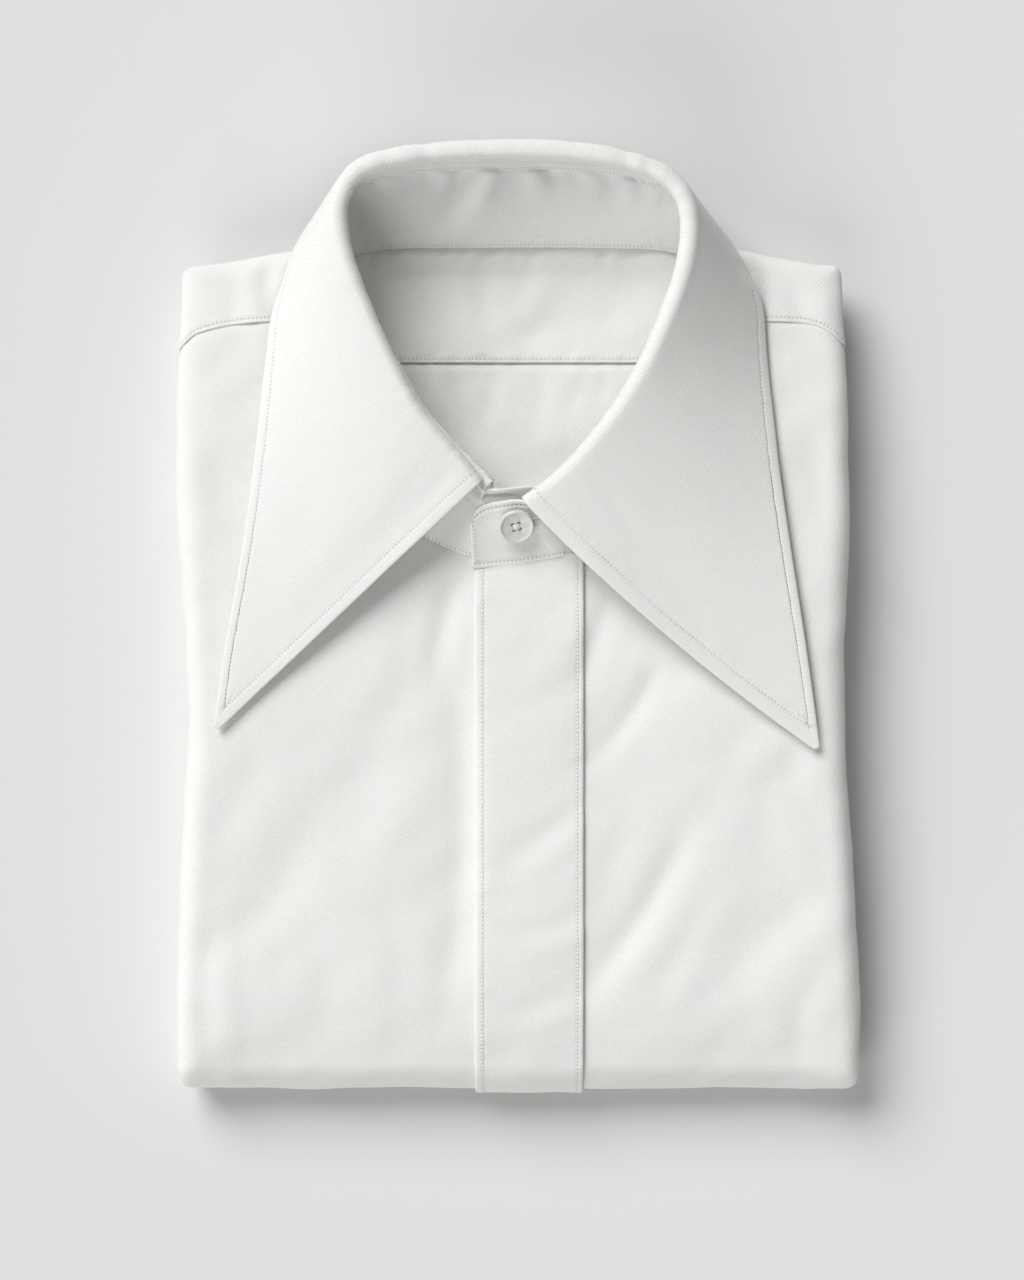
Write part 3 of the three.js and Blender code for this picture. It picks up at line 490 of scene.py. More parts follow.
def new_object(name, data):
    made = bpy.data.objects.new(name, data)
    bpy.context.scene.collection.objects.link(made)
    return made


def add_mesh(name, points, faces, material, fields=None):
    """A mesh object in metres from points in millimetres, with vectors on its points for the materials to read."""
    mesh = bpy.data.meshes.new(name)
    flat = (np.asarray(points, float).reshape(-1, 3) + np.array([0, MIDDLE_SHIFT, 0])) * MM
    faces = np.asarray(faces, np.int32)
    mesh.vertices.add(len(flat))
    mesh.vertices.foreach_set("co", flat.astype(np.float32).ravel())
    mesh.loops.add(faces.size)
    mesh.loops.foreach_set("vertex_index", faces.ravel())
    mesh.polygons.add(len(faces))
    mesh.polygons.foreach_set("loop_start", np.arange(0, faces.size, faces.shape[1], dtype=np.int32))
    mesh.update(calc_edges=True)
    mesh.polygons.foreach_set("use_smooth", np.ones(len(faces), bool))
    for field, values in (fields or {}).items():
        attribute = mesh.attributes.new(field, "FLOAT_VECTOR", "POINT")
        attribute.data.foreach_set("vector", np.asarray(values, np.float32).ravel())
    if mesh.validate():
        raise RuntimeError(name + " has faces that are not sound")
    mesh.materials.append(material)
    return new_object(name, mesh)


def grid_faces(rows, columns, first=0, turned=False):
    index = np.arange(rows * columns).reshape(rows, columns) + first
    quads = np.stack([index[:-1, :-1], index[:-1, 1:], index[1:, 1:], index[1:, :-1]], axis=-1).reshape(-1, 4)
    return quads[:, ::-1] if turned else quads


def rim_faces(upper, lower):
    """Quads between two rings of indexes."""
    return np.stack([upper, lower, np.roll(lower, -1), np.roll(upper, -1)], axis=-1)


def tube_faces(rings, corners):
    """Quads round a tube of rings with an even number of corners, and over its two ends."""
    index = np.arange((rings - 1) * corners)
    after = index + 1 - corners * (index % corners == corners - 1)
    walls = np.stack([index, after, after + corners, index + corners], axis=-1)
    fan = np.array([(0, k + 1, k + 2, k + 3) for k in range(0, corners - 2, 2)])
    return np.concatenate([walls, fan[:, ::-1], fan + (rings - 1) * corners])


def grid_normals(grid):
    return unit(np.cross(np.gradient(grid, axis=1), np.gradient(grid, axis=0)))


def up_normals(grid):
    """A grid's normals, on the side that faces up in its middle."""
    normals = grid_normals(grid)
    return normals if normals[grid.shape[0] // 2, grid.shape[1] // 2, 2] > 0 else -normals


def border(rows, columns):
    """Indexes of a grid's border, in order round it."""
    index = np.arange(rows * columns).reshape(rows, columns)
    return np.concatenate([index[0, :-1], index[:-1, -1], index[-1, :0:-1], index[:0:-1, 0]])


def signed_volume(points, faces):
    a, b, c, d = (points[faces[:, k]] for k in range(4))
    return float(np.einsum("ij,ij->i", a, np.cross(b, c)).sum() + np.einsum("ij,ij->i", a, np.cross(c, d)).sum())


def facing_out(points, faces):
    return faces[:, ::-1] if signed_volume(points, faces) < 0 else faces


def fields_of(s, t, gap=FAR, run=FAR, groove=NO_SEAM_SHADE):
    """What a cloth's material reads: place on the cloth, then stitch row's distance, run along it, and the distance
    from a seam line that the material darkens as painted shade.
    """
    seam = [np.broadcast_to(part, np.shape(s)) for part in (gap, run, np.clip(groove, -NO_SEAM_SHADE, NO_SEAM_SHADE))]
    return {"cloth": np.stack([s, t, np.zeros_like(s)], axis=-1), "seam": np.stack(seam, axis=-1)}


def shell(name, outer, thickness, material, fields, above=None, edge=ROUND_EDGE):
    """A closed thin shell of cloth under a grid of outer points, with shaped edges."""
    rows, columns = outer.shape[:2]
    normals = grid_normals(outer)
    if above is not None and np.dot(normals[rows // 2, columns // 2], above) < 0:
        normals = -normals
    inner = (outer - normals * thickness).reshape(-1, 3)
    out = np.zeros_like(outer)
    out[0] += outer[0] - outer[1]
    out[-1] += outer[-1] - outer[-2]
    aside = np.zeros_like(outer)
    aside[:, 0] += outer[:, 0] - outer[:, 1]
    aside[:, -1] += outer[:, -1] - outer[:, -2]
    ring = border(rows, columns)
    out = unit(unit(out) + unit(aside)).reshape(-1, 3)[ring]
    outer = outer.reshape(-1, 3)
    rims = [lerp(outer[ring], inner[ring], down) + out * thickness * wide for wide, down in edge]
    points = np.concatenate([outer, inner, *rims])
    total = rows * columns
    rings = [ring, *(2 * total + k * len(ring) + np.arange(len(ring)) for k in range(len(edge))), total + ring]
    faces = [grid_faces(rows, columns), grid_faces(rows, columns, total, turned=True)]
    faces = np.concatenate(faces + [rim_faces(*pair) for pair in zip(rings[:-1], rings[1:])])
    full = {}
    for field, values in fields.items():
        values = values.reshape(total, 3)
        rim_values = [values[ring] for _ in edge]
        # On a two-ply edge the rims take these distances, which paint a shade line between the plies.
        if field == "seam" and edge is TWO_PLY_EDGE:
            for rim, groove in zip(rim_values, TWO_PLY_SEAM_SHADE):
                rim[:, 2] = groove
        full[field] = np.concatenate([values, values, *rim_values])
    return add_mesh(name, points, facing_out(points, faces), material, full)


def run_along(points):
    """Length along a line of points, at each of them."""
    return np.concatenate([[0], np.cumsum(np.linalg.norm(np.diff(points, axis=0), axis=1))])


def read_along(stops, run, values):
    """Points or normals of a line, read at stops along it."""
    return np.stack([np.interp(stops, run, values[:, k]) for k in range(3)], axis=-1)


def iso_line(grid, normals, field, value):
    """The line on a grid, with its normals, where a field that rises along each row has a value."""
    line, upright = [], []
    for points, normal, values in zip(grid, normals, field):
        rising = np.maximum.accumulate(values)
        if not rising[0] <= value <= rising[-1]:
            continue
        places = np.arange(len(values))
        place = float(np.interp(value, rising, places))
        line.append(read_along(place, places, points))
        upright.append(read_along(place, places, normal))
    return np.array(line), np.array(upright)


def iso_line_down(grid, normals, field, value):
    """The same for a field that rises down each column."""
    return iso_line(grid.swapaxes(0, 1), normals.swapaxes(0, 1), field.T, value)


def stitch_mesh(name, rows, material, radius=STITCH_RADIUS, seed=0):
    """Rows of lockstitches: (points, normals) lines on the cloth, one rounded stitch for each pitch."""
    draw = np.random.default_rng(seed)
    turns = np.arange(STITCH_CORNERS) * 2 * math.pi / STITCH_CORNERS
    one = tube_faces(len(STITCH_RINGS), STITCH_CORNERS)
    points = []
    for line, normals in rows:
        run = run_along(line)
        stops = np.arange(0.0, run[-1], STITCH_PITCH)
        at, normal = read_along(stops, run, line), unit(read_along(stops, run, normals))
        for start, end, upright in zip(at[:-1], at[1:], normal):
            along = unit(end - start)
            up = unit(upright - along * float(np.dot(upright, along)))
            side = np.cross(along, up)
            half = STITCH_PITCH * STITCH_HALF * draw.uniform(0.94, 1.04)
            lean = draw.normal(0, 0.05)
            middle = (start + end) / 2 + side * draw.normal(0, 0.03)
            for share, wide, low in STITCH_RINGS:
                centre = middle + (along + side * lean) * share * half + up * (low + STITCH_LIFT)
                points += [centre + (side * math.cos(turn) + up * math.sin(turn)) * radius * wide for turn in turns]
    points = np.array(points)
    each = len(STITCH_RINGS) * STITCH_CORNERS
    one = facing_out(points[:each], one)
    faces = one + np.arange(0, len(points), each)[:, None, None]
    return add_mesh(name, points, faces.reshape(-1, 4), material)


def beside(grid, rows):
    """Each point's distance from the nearest stitch row, and how far along that row it is."""
    gap, run = np.full(grid.shape[:-1], FAR), np.zeros(grid.shape[:-1])
    for line, _ in rows:
        near, along = line_distance(grid, line)
        closer = near < gap
        gap, run = np.where(closer, near, gap), np.where(closer, along, run)
    return gap, run


# ---- materials ----

MIX_COLOURS = (6, 7)  # a mix node's two colours among its inputs
MIX_RESULT = 2
ROW_WIDTH = 0.42  # millimetres over which a stitch row's needle holes fade
# Width of the painted shade line along a seam.
SEAM_SHADE_WIDTH = 0.36
PUCKER_WIDTH = 2.6
COOLER = (0.95, 0.97, 1.0)


class Value:
    """A node's output that can stand in an expression."""

    def __init__(self, shader, socket):
        self.shader, self.socket = shader, socket

    def maths(self, operation, *others):
        return self.shader.node("ShaderNodeMath", {"operation": operation}, dict(enumerate((self, *others))))

    def __add__(self, other):
        return self.maths("ADD", other)

    def __sub__(self, other):
        return self.maths("SUBTRACT", other)

    def __mul__(self, other):
        return self.maths("MULTIPLY", other)

    def __truediv__(self, other):
        return self.maths("DIVIDE", other)

    def __pow__(self, other):
        return self.maths("POWER", other)

    def sine(self):
        return self.maths("SINE")

    def falling(self, width):
        """1 where the value is 0, falling softly to 0 a few widths away."""
        share = self / width
        return (share * share + 1.0) ** -2.0

    def within(self, low, high):
        """The share of the way from low to high, kept between 0 and 1."""
        values = {"Value": self, "From Min": low, "From Max": high}
        return self.shader.node("ShaderNodeMapRange", {"clamp": True}, values)


class Shader:
    """A material with its main shader, and one way to add any other node."""

    def __init__(self, name, **constants):
        self.material = bpy.data.materials.new(name)
        self.material.use_nodes = True
        self.nodes = self.material.node_tree.nodes
        self.links = self.material.node_tree.links
        self.main = self.nodes["Principled BSDF"]
        for socket, value in constants.items():
            self.main.inputs[socket.replace("_", " ")].default_value = value

    def node(self, kind, settings, values, output=0):
        node = self.nodes.new(kind)
        for setting, value in settings.items():
            setattr(node, setting, value)
        for socket, value in values.items():
            if isinstance(value, Value):
                self.links.new(value.socket, node.inputs[socket])
            else:
                node.inputs[socket].default_value = value
        return Value(self, node.outputs[output])

    def field(self, name, part):
        """One part of a vector on a mesh's points."""
        vector = self.node("ShaderNodeAttribute", {"attribute_name": name}, {}, "Vector")
        return self.node("ShaderNodeSeparateXYZ", {}, {0: vector}, part)

    def vector(self, x, y):
        return self.node("ShaderNodeCombineXYZ", {}, {"X": x, "Y": y})

    def place(self):
        """Where a point is on its object, in metres."""
        return self.node("ShaderNodeTexCoord", {}, {}, "Object")

    def noise(self, where, scale, detail=2.0, rough=0.5):
        values = {"Vector": where, "Scale": scale, "Detail": detail, "Roughness": rough}
        return self.node("ShaderNodeTexNoise", {}, values, "Fac")

    def mix(self, share, *colours):
        values = {"Factor": share, **dict(zip(MIX_COLOURS, colours))}
        return self.node("ShaderNodeMix", {"data_type": "RGBA"}, values, MIX_RESULT)

    def feed(self, socket, value):
        self.links.new(value.socket, self.main.inputs[socket])

    def bump(self, height):
        """Relief in millimetres."""
        self.feed("Normal", self.node("ShaderNodeBump", {}, {"Height": height, "Distance": MM, "Strength": 1.0}))


def shade(colour, times):
    return (*(min(1.0, part * times) for part in colour[:3]), 1.0)


def twill_cloth(name, colour, pitch, relief, slub=1.0, pucker=0.16, needle_hole_shade_tone=0.6):
    """Cotton twill: fine slanting ribs, uneven yarns, and at a stitch row its needle holes and puckers, with painted
    shade in the needle holes and along seam lines.
    """
    shader = Shader(name, Roughness=0.86, Specular_IOR_Level=0.28, Sheen_Weight=0.12, Sheen_Roughness=0.55)
    shader.main.inputs["Sheen Tint"].default_value = (1, 1, 1, 1)
    across, along = shader.field("cloth", "X"), shader.field("cloth", "Y")
    broad = shader.noise(shader.vector(across * 0.05, along * 0.05), 1.0, 3.0) - 0.5
    wander = shader.noise(shader.vector(across * 0.3, along * 0.3), 1.0)
    ribs = ((along - across) * (2 * math.pi / (pitch * 2**0.5)) + wander * 1.6).sine()
    yarns = shader.noise(shader.vector((across + along) * 0.16, (along - across) * 1.5), 1.0, 3.0, 0.6) - 0.5
    grain = shader.noise(shader.vector(across, along), 1.0, 4.0, 0.8) - 0.5
    gap, run = shader.field("seam", "X"), shader.field("seam", "Y")
    stitches = (run * (2 * math.pi / STITCH_PITCH) + math.pi / 2).sine() * 0.5 + 0.5
    # Needle holes: the bump dips them, and the colour darkens them as painted shade.
    holes = gap.falling(ROW_WIDTH) * stitches**2.0
    puckers = shader.noise(shader.vector(run * 0.42, gap * 0.08), 1.0, 2.0, 0.55) - 0.5
    puckers = puckers * gap.falling(PUCKER_WIDTH)
    # Painted shade: a dark line along the seam lines, where a seam's crease or step lies in shade.
    groove = shader.field("seam", "Z").falling(SEAM_SHADE_WIDTH)
    tone = yarns * (0.5 * slub) + broad * 0.045 + ribs * 0.1 + grain * 1.3 + 0.5
    dyed = shader.mix(tone.within(0.0, 1.0), shade(colour, 0.88), shade(colour, 1.07))
    cool = (*(part * times for part, times in zip(colour, COOLER)), 1.0)
    clouded = shader.mix(broad.within(0.02, 0.2) * 0.5, dyed, cool)
    # Painted shade: the needle holes, then the seam lines, darkened in the cloth's colour.
    hole_shaded = shader.mix(holes * needle_hole_shade_tone, clouded, shade(colour, 0.42))
    shader.feed("Base Color", shader.mix(groove * 0.75, hole_shaded, shade(colour, 0.5)))
    shader.feed("Roughness", grain * 0.1 + broad * 0.06 + 0.86)
    weave = ribs * relief + yarns * (relief * 2.2) + grain * (relief * 5.0)
    shader.bump(weave + puckers * pucker * 2 - holes * 0.09)
    return shader.material


def thread_finish(name, colour):
    """Twisted cotton thread."""
    shader = Shader(name, Roughness=0.6, Specular_IOR_Level=0.4, Sheen_Weight=0.1)
    twist = shader.noise(shader.place(), 2600.0)
    fading = shader.noise(shader.place(), 320.0, 1.0)
    tone = (twist - 0.5) * 0.5 + (fading - 0.5) * 0.5 + 0.5
    shader.feed("Base Color", shader.mix(tone.within(0.1, 0.9), shade(colour, 0.88), shade(colour, 1.05)))
    shader.feed("Roughness", twist * 0.2 + 0.5)
    shader.bump((twist - 0.5) * 0.03)
    return shader.material


def button_finish(name, colour):
    """Satin moulded button, slightly pearly, with faint clouds below its surface."""
    shader = Shader(name, Specular_IOR_Level=0.5, Coat_Weight=0.25, Coat_Roughness=0.18, Roughness=0.3)
    clouds = shader.noise(shader.place(), 210.0, 4.0, 0.6)
    veins = (shader.noise(shader.place(), 90.0, 3.0) * 26.0 + clouds * 5.0).sine()
    wear = shader.noise(shader.place(), 900.0)
    tone = (clouds - 0.5) * 0.7 + veins * 0.08 + 0.5
    shader.feed("Base Color", shader.mix(tone.within(0.1, 0.9), shade(colour, 0.9), shade(colour, 1.06)))
    shader.feed("Roughness", wear * 0.14 + clouds * 0.08 + 0.2)
    shader.bump((wear - 0.5) * 0.012)
    return shader.material


def floor_finish(name, colour):
    """Plain matt paper."""
    shader = Shader(name, Specular_IOR_Level=0.1, Roughness=0.95)
    tone = shader.noise(shader.place(), 3.0)
    shader.feed("Base Color", shader.mix(tone, shade(colour, 0.995), shade(colour, 1.005)))
    return shader.material


# ---- panels ----

SIDE_ARC = 13.5  # millimetres of cloth in a quarter turn of a side fold
TUCK = 1.88  # quarter turns that the cloth goes round a side fold or the shoulder end
TUCK_POINTS = 24
YOKE_STITCH = 1.4
LINING_STITCH = 1.4
NECK_INSIDE = 68  # how far from the middle the cloth inside the neck is modelled
WING_FROM = 72  # beyond it a front meets the yoke and no longer the neck
LAP = 2.5  # how far a cloth goes on beneath the one that is sewn over it, and how much lower it lies there
LAP_DROP = 0.55
FRONT_ENDS = 0.9  # how far round the bottom fold the fronts and the placket go and the tail starts
PLACKET_ENDS = 0.7
TAIL_STARTS = 0.82
EDGE_GAPS = (0, 0.3, 0.6, 1.0, 1.4, 1.8, 2.2, 2.6, 3.0, 3.4, 3.9, 4.6, 5.6)  # stations near a strip's edge
SEAM_GAPS = (0, 0.25, 0.5, 0.8, 1.1, 1.4, 1.7, 2.1, 2.7, 3.5, 5.0)
LINING_GAPS = (0, 0.3, 0.6, 1.0, 1.4, 1.8, 2.3, 3.0, 4.0)
UP, DOWN = (0, 0, 1), (0, 0, -1)


def cloth_place(u, v):
    """Where a point is on the flat cloth, in millimetres across and along."""
    y = np.clip(FLAT_START - v, FLAT_STOP, FLAT_START)
    flat = lerp(-reach_to(-1, y), reach_to(1, y), (np.clip(u, -1, 1) + 1) / 2)
    return flat + np.sign(u) * np.maximum(0, np.abs(u) - 1) * SIDE_ARC, FLAT_START - v


def bottom_slope(s, t):
    """How far the cloth falls away before it goes over the bottom fold."""
    return 2.0 * rise(-t, 124, 162) * (1 - rise(-t, 166, 184)) * (1 - rise(np.abs(s), 90, 120))


def body_relief(s, t):
    """Creases and soft swells shared by all that lies on the fronts."""
    sides = rise(np.abs(s), 60, 118)
    height = swell(s, t, 3, 42, 90, 0.26) + swell(s, t, 5, 15, 32, 0.13, 2.45)
    height = height + swell(s, t, 9, 9, 20, 0.10, 0.2) * sides
    return height - bottom_slope(s, t) + crease_relief(s, t, CREASES)


def laid(u, v, lift, extra=0.0):
    """Points of cloth on the folded form with its relief, and where they are on the cloth."""
    u, v = np.broadcast_arrays(u, v)
    s, t = cloth_place(u, v)
    return skin(u, v, lift + body_relief(s, t) + extra), s, t


def tuck_turns(points=TUCK_POINTS):
    """Quarter turns past an edge that is tucked round a fold."""
    return np.linspace(0, TUCK, points)[1:]


def front_panel(side, name, material):
    inner = FRONT_EDGE + side * SEAM_GAP
    outer = side * float(reach_to(side, WING_Y))
    neck = np.linspace(inner, side * (NECK_HALF + 0.2), 52)
    wing = np.linspace(side * (WING_FROM + 1), outer, 26)
    x = np.concatenate([neck, wing])
    y = np.concatenate([neck_front_y(neck, 1.2), curve(YOKE_SEAM, "y", "x", wing) + LAP])
    start_u, start_v = across_at(x, y), along_at(x, y)
    ends = lerp(inner, side * float(reach_to(side, FLAT_STOP)), (x - inner) / (outer - inner))
    end_u = across_at(ends, np.full_like(ends, FLAT_STOP))
    start_u[-1] = end_u[-1] = side
    turns = tuck_turns()
    start_u = np.concatenate([start_u, side * (1 + turns)])
    end_u = np.concatenate([end_u, side * (1 + turns)])
    start_v = np.concatenate([start_v, wing_seam(side, turns) - LAP])
    share = np.concatenate([np.linspace(0, 0.035, 8), np.linspace(0.035, 1, 150)[1:]])[:, None]
    u = lerp(start_u, end_u, share)
    v = lerp(start_v, FRONT_LENGTH, share)
    bend = FRONT_LENGTH + np.linspace(0, FRONT_ENDS, 34)[1:, None] * BEND_LENGTH
    u = np.concatenate([u, np.broadcast_to(end_u, (len(bend), len(end_u)))])
    v = np.concatenate([v, np.broadcast_to(bend, (len(bend), len(end_u)))])
    s, t = cloth_place(u, v)
    from_seam = np.where(np.abs(s) > WING_FROM, v - start_v - LAP, FAR)
    under = -LAP_DROP * (1 - rise(from_seam, 0.0, 3.5))
    grid, s, t = laid(u, v, 0.0, under)
    return shell(name, grid, PANEL, material, fields_of(s, t), UP)


PLACKET_LIFT = 1.5
EDGE_TURN = 0.25  # how far the placket's edges turn down
PLACKET_MARGIN = (2.7, 2.0)  # stitch rows inside its left and right edges


def near_edges(width, inside):
    """Stations across a strip, close together beside both edges."""
    edge = np.array(EDGE_GAPS)
    middle = np.linspace(edge[-1], width - edge[-1], inside)[1:-1]
    return np.concatenate([edge, middle, width - edge[::-1]])


def placket_strip(material, thread):
    width = PLACKET_RIGHT - PLACKET_LEFT
    x = PLACKET_LEFT + near_edges(width, 14)
    start_v = along_at(x, neck_front_y(x, 0.9))
    share = np.linspace(0, 1, 150)[:, None]
    v = lerp(start_v, FRONT_LENGTH, share)
    bend = FRONT_LENGTH + np.linspace(0, PLACKET_ENDS, 28)[1:, None] * BEND_LENGTH
    v = np.concatenate([v, np.broadcast_to(bend, (len(bend), len(x)))])
    u = across_at(x, np.maximum(FLAT_START - v, FLAT_STOP))
    s, t = cloth_place(u, v)
    left, right = s - PLACKET_LEFT, PLACKET_RIGHT - s
    extra = hem(left, PLACKET_MARGIN[0], 0.06, 0.1) + hem(right, PLACKET_MARGIN[1], 0.06, 0.14)
    extra += 0.1 * ripples(v, 21, 9.0) * hump(left - 3.4, 2.2)
    extra += 0.11 * ripples(v, 22, 8.0) * hump(right - 2.8, 2.4)
    extra -= EDGE_TURN * np.exp(-left / 0.5) + EDGE_TURN * np.exp(-right / 0.5)
    extra += crease_relief(s, t, PLACKET_CREASES)
    grid, s, t = laid(u, v, PLACKET_LIFT, extra)
    normals = up_normals(grid)
    rows = [iso_line(grid, normals, left, PLACKET_MARGIN[0]), iso_line(grid, normals, -right, -PLACKET_MARGIN[1])]
    rows = [(line[2:], normal[2:]) for line, normal in rows]
    fields = fields_of(s, t, *beside(grid, rows))
    piece = shell("placket_cloth", grid, PLACKET_THICK, material, fields, UP)
    return piece, stitch_mesh("placket_stitches", rows, thread, seed=4)


YOKE_CREASES = (
    (-84, 124, -87, 116, -84, 104, 3.6, 1.0, 0.7),
    (-92, 121, -96, 113, -101, 106, 4.5, 0.45, 0.5),
    (84, 122, 86, 114, 84, 104, 3.4, 0.8, 0.6),
    (93, 119, 97, 111, 104, 104, 4.5, 0.4, 0.5),
)


def yoke_panel(material, thread):
    left, right = -float(reach_to(-1, WING_Y)), float(reach_to(1, WING_Y))
    wing = WING_FROM + 1
    neck = np.linspace(-NECK_HALF, NECK_HALF, 96)
    x = np.concatenate([np.linspace(left, -wing, 22), neck, np.linspace(wing, right, 22)])
    seam = curve(YOKE_SEAM, "y", "x", x)
    y = np.maximum(neck_back_y(x, -0.5), seam)
    u, start_v = across_at(x, y), along_at(x, y)
    u[0], u[-1] = -1, 1
    turns = tuck_turns()
    u = np.concatenate([(-1 - turns)[::-1], u, 1 + turns])
    start_v = np.concatenate([wing_seam(-1, turns)[::-1], start_v, wing_seam(1, turns)])
    near = np.array(SEAM_GAPS) / 28
    share = np.concatenate([near, np.linspace(near[-1], 1, 22)[1:]])[:, None]
    turn_from = np.minimum(0, start_v - 2)
    v = lerp(start_v, turn_from, share)
    end = lerp(turn_from, -TUCK * END_LENGTH, np.linspace(0, 1, 24)[1:, None])
    v = np.concatenate([v, end])
    u = np.broadcast_to(u, v.shape)
    s, t = cloth_place(u, v)
    from_seam = start_v - v
    on_wing = np.abs(s) > WING_FROM
    lap = 0.04 + 0.2 * np.exp(-from_seam / 4.0) + hem(from_seam, YOKE_STITCH, 0.05, 0.12)
    lap = np.where(on_wing, lap + 0.14 * ripples(s, 31, 7.0) * np.exp(-from_seam / 3.0), 0)
    grid, s, t = laid(u, v, 0.0, lap + crease_relief(s, t, YOKE_CREASES))
    normals = up_normals(grid)
    rows = []
    for side in (-1, 1):
        chosen = np.where((np.abs(s[0]) > wing) & (np.sign(s[0]) == side) & (np.abs(u[0]) < 2.2))[0]
        rows.append(iso_line_down(grid[:, chosen], normals[:, chosen], from_seam[:, chosen], YOKE_STITCH))
    piece = shell("yoke_cloth", grid, PANEL, material, fields_of(s, t, *beside(grid, rows)), UP)
    return piece, stitch_mesh("yoke_stitches", rows, thread, seed=6)


INSIDE_CREASES = (
    (-13, 122, -12, 110, -7, 99, 4.5, 0.8, 0.4),
    (3, 123, 2, 116, -2, 110, 4.0, 0.5, 0.4),
    (14, 106, 6, 100, -2, 96, 5.0, 0.5, 0.4),
    (-36, 118, -34, 108, -30, 98, 6.0, 0.4, 0.3),
    (38, 116, 34, 106, 33, 97, 6.0, 0.4, 0.3),
    (-22, 86, -20, 76, -16, 62, 4.0, 0.6, 0.4),
    (-8, 87, -9, 78, -12, 66, 3.6, 0.5, 0.4),
    (8, 87, 8, 76, 4, 60, 4.5, 0.55, 0.4),
    (22, 86, 19, 78, 15, 68, 4.0, 0.5, 0.4),
    (30, 86, 29, 80, 27, 74, 3.0, 0.4, 0.4),
)


def inside_relief(x, y):
    """Soft gathers of the cloth inside the neck, below the neck seam and below the lining's edge."""
    below_neck = np.maximum(0, neck_back_y(x, 0) - y)
    below_edge = NECK_Y - y
    height = 0.42 * ripples(x, 41, 10.0) * hump(below_neck, 7.0)
    height = height + 0.30 * ripples(x, 43, 12.0) * np.exp(-np.maximum(0, below_edge) / 7.0) * (below_edge > -3)
    height = height + crease_relief(x, y, INSIDE_CREASES)
    return height + swell(x, y, 45, 22, 50, 0.32) + swell(x, y, 47, 9, 18, 0.06)


def lining_panel(material, thread):
    x = np.linspace(-NECK_INSIDE, NECK_INSIDE, 120)
    near = np.array(LINING_GAPS) / 40
    share = np.concatenate([near, np.linspace(near[-1], 0.88, 26)[1:], np.linspace(0.88, 1, 12)[1:]])[:, None]
    top = neck_back_y(x, -0.6)
    y = lerp(NECK_Y, top, share)
    x = np.broadcast_to(x, y.shape)
    edge = y - NECK_Y
    to_seam = top - y
    lift = 0.30 + hem(edge, LINING_STITCH, 0.05, 0.12) + 0.1 * ripples(x, 51, 6.0) * np.exp(-edge / 3)
    lift = lift + 1.15 * (1 - rise(to_seam, 0.4, 4.5)) + inside_relief(x, y)
    grid = np.stack([x, y, basin(x, y) + lift], axis=-1)
    rows = [iso_line_down(grid, up_normals(grid), edge, LINING_STITCH)]
    # Painted shade: a dark line along the lining's lower edge, where it steps on to the back.
    fields = fields_of(x, y, *beside(grid, rows), edge)
    piece = shell("yoke_lining_cloth", grid, PANEL, material, fields, UP)
    return piece, stitch_mesh("yoke_lining_stitches", rows, thread, radius=FINE_STITCH, seed=8)


def back_panel(material):
    x = np.linspace(-NECK_INSIDE, NECK_INSIDE, 120)
    bottom = neck_front_y(x, 0.8)
    share = np.linspace(0, 1, 80)[:, None]
    y = lerp(bottom, NECK_Y + LAP, share)
    x = np.broadcast_to(x, y.shape)
    under = -LAP_DROP * rise(y, NECK_Y - 3.0, NECK_Y + 0.2)
    grid = np.stack([x, y, basin(x, y) + under + inside_relief(x, y)], axis=-1)
    return shell("back_cloth", grid, PANEL, material, fields_of(x, y), UP)


# ---- the layers folded away ----


TAIL_ROWS = (-12.1, 20.5)  # the placket's two stitch rows as they show beneath
TAIL_HEM = 22  # from the shoulder end to the hem, in the middle
HEM_BOW = 0.0052
HEM_ROW = 5.0


def tail_panel(material):
    """The cloth of the tail, round the bottom fold, along beneath and up round its own side folds."""
    turns = tuck_turns(20)
    u = np.concatenate([(-1 - turns)[::-1], np.linspace(-1, 1, 90), 1 + turns])
    bend = FRONT_LENGTH + np.linspace(TAIL_STARTS, 1, 12)[:-1] * BEND_LENGTH
    flat = np.linspace(BENEATH, BENEATH + FRONT_LENGTH, 100)
    end = BENEATH + FRONT_LENGTH + tuck_turns(20) * END_LENGTH
    v = np.concatenate([bend, flat, end])[:, None]
    u = np.broadcast_to(u, (len(v), len(u)))
    v = np.broadcast_to(v, u.shape)
    s = cloth_place(u, np.full_like(u, 60.0))[0]
    t = FLAT_START - v
    mirrored = v - BENEATH - FRONT_LENGTH
    side = rise(np.abs(s), 100, 116)
    ends = rise(mirrored, -8, 4)
    hollow = -0.7 * (1 - rise(v, bend[0], BENEATH))
    folds = (swell(s, t, 61, 12, 30, 0.30, 0.1) - 0.25) * np.maximum(side, ends)
    flatten = (1 - side) * (1 - ends)
    strip = np.maximum(rise(s, PLACKET_LEFT - 0.5, PLACKET_LEFT + 0.5) * (1 - rise(s, 22, 23)), 0)
    hem_y = -mirrored - TAIL_HEM - HEM_BOW * s**2
    beyond = rise(-hem_y, -0.5, 0.5)
    relief = folds + flatten * (-0.9 + 0.75 * strip * (1 - beyond) - 0.9 * beyond)
    relief -= flatten * 0.25 * np.abs(swell(s, t, 63, 26, 60, 0.5))
    grid = skin(u, v, hollow + relief)
    grid[..., 2] = np.maximum(grid[..., 2], 0.0)
    to_rows = np.minimum(np.abs(s - TAIL_ROWS[0]), np.abs(s - TAIL_ROWS[1]))
    gap = np.where((s > PLACKET_LEFT) & (s < PLACKET_RIGHT), to_rows, FAR)
    gap = np.minimum(gap, np.abs(hem_y - HEM_ROW))
    return shell("tail_cloth", grid, PANEL, material, fields_of(s, t, gap, t), DOWN)


HEAP_TURN = 1.55  # quarter turns that the hidden layers follow the folds
HEAP_SUNK = 2.1  # how far they lie below the cloth above them, and above the cloth beneath
HEAP_RAISED = 2.0


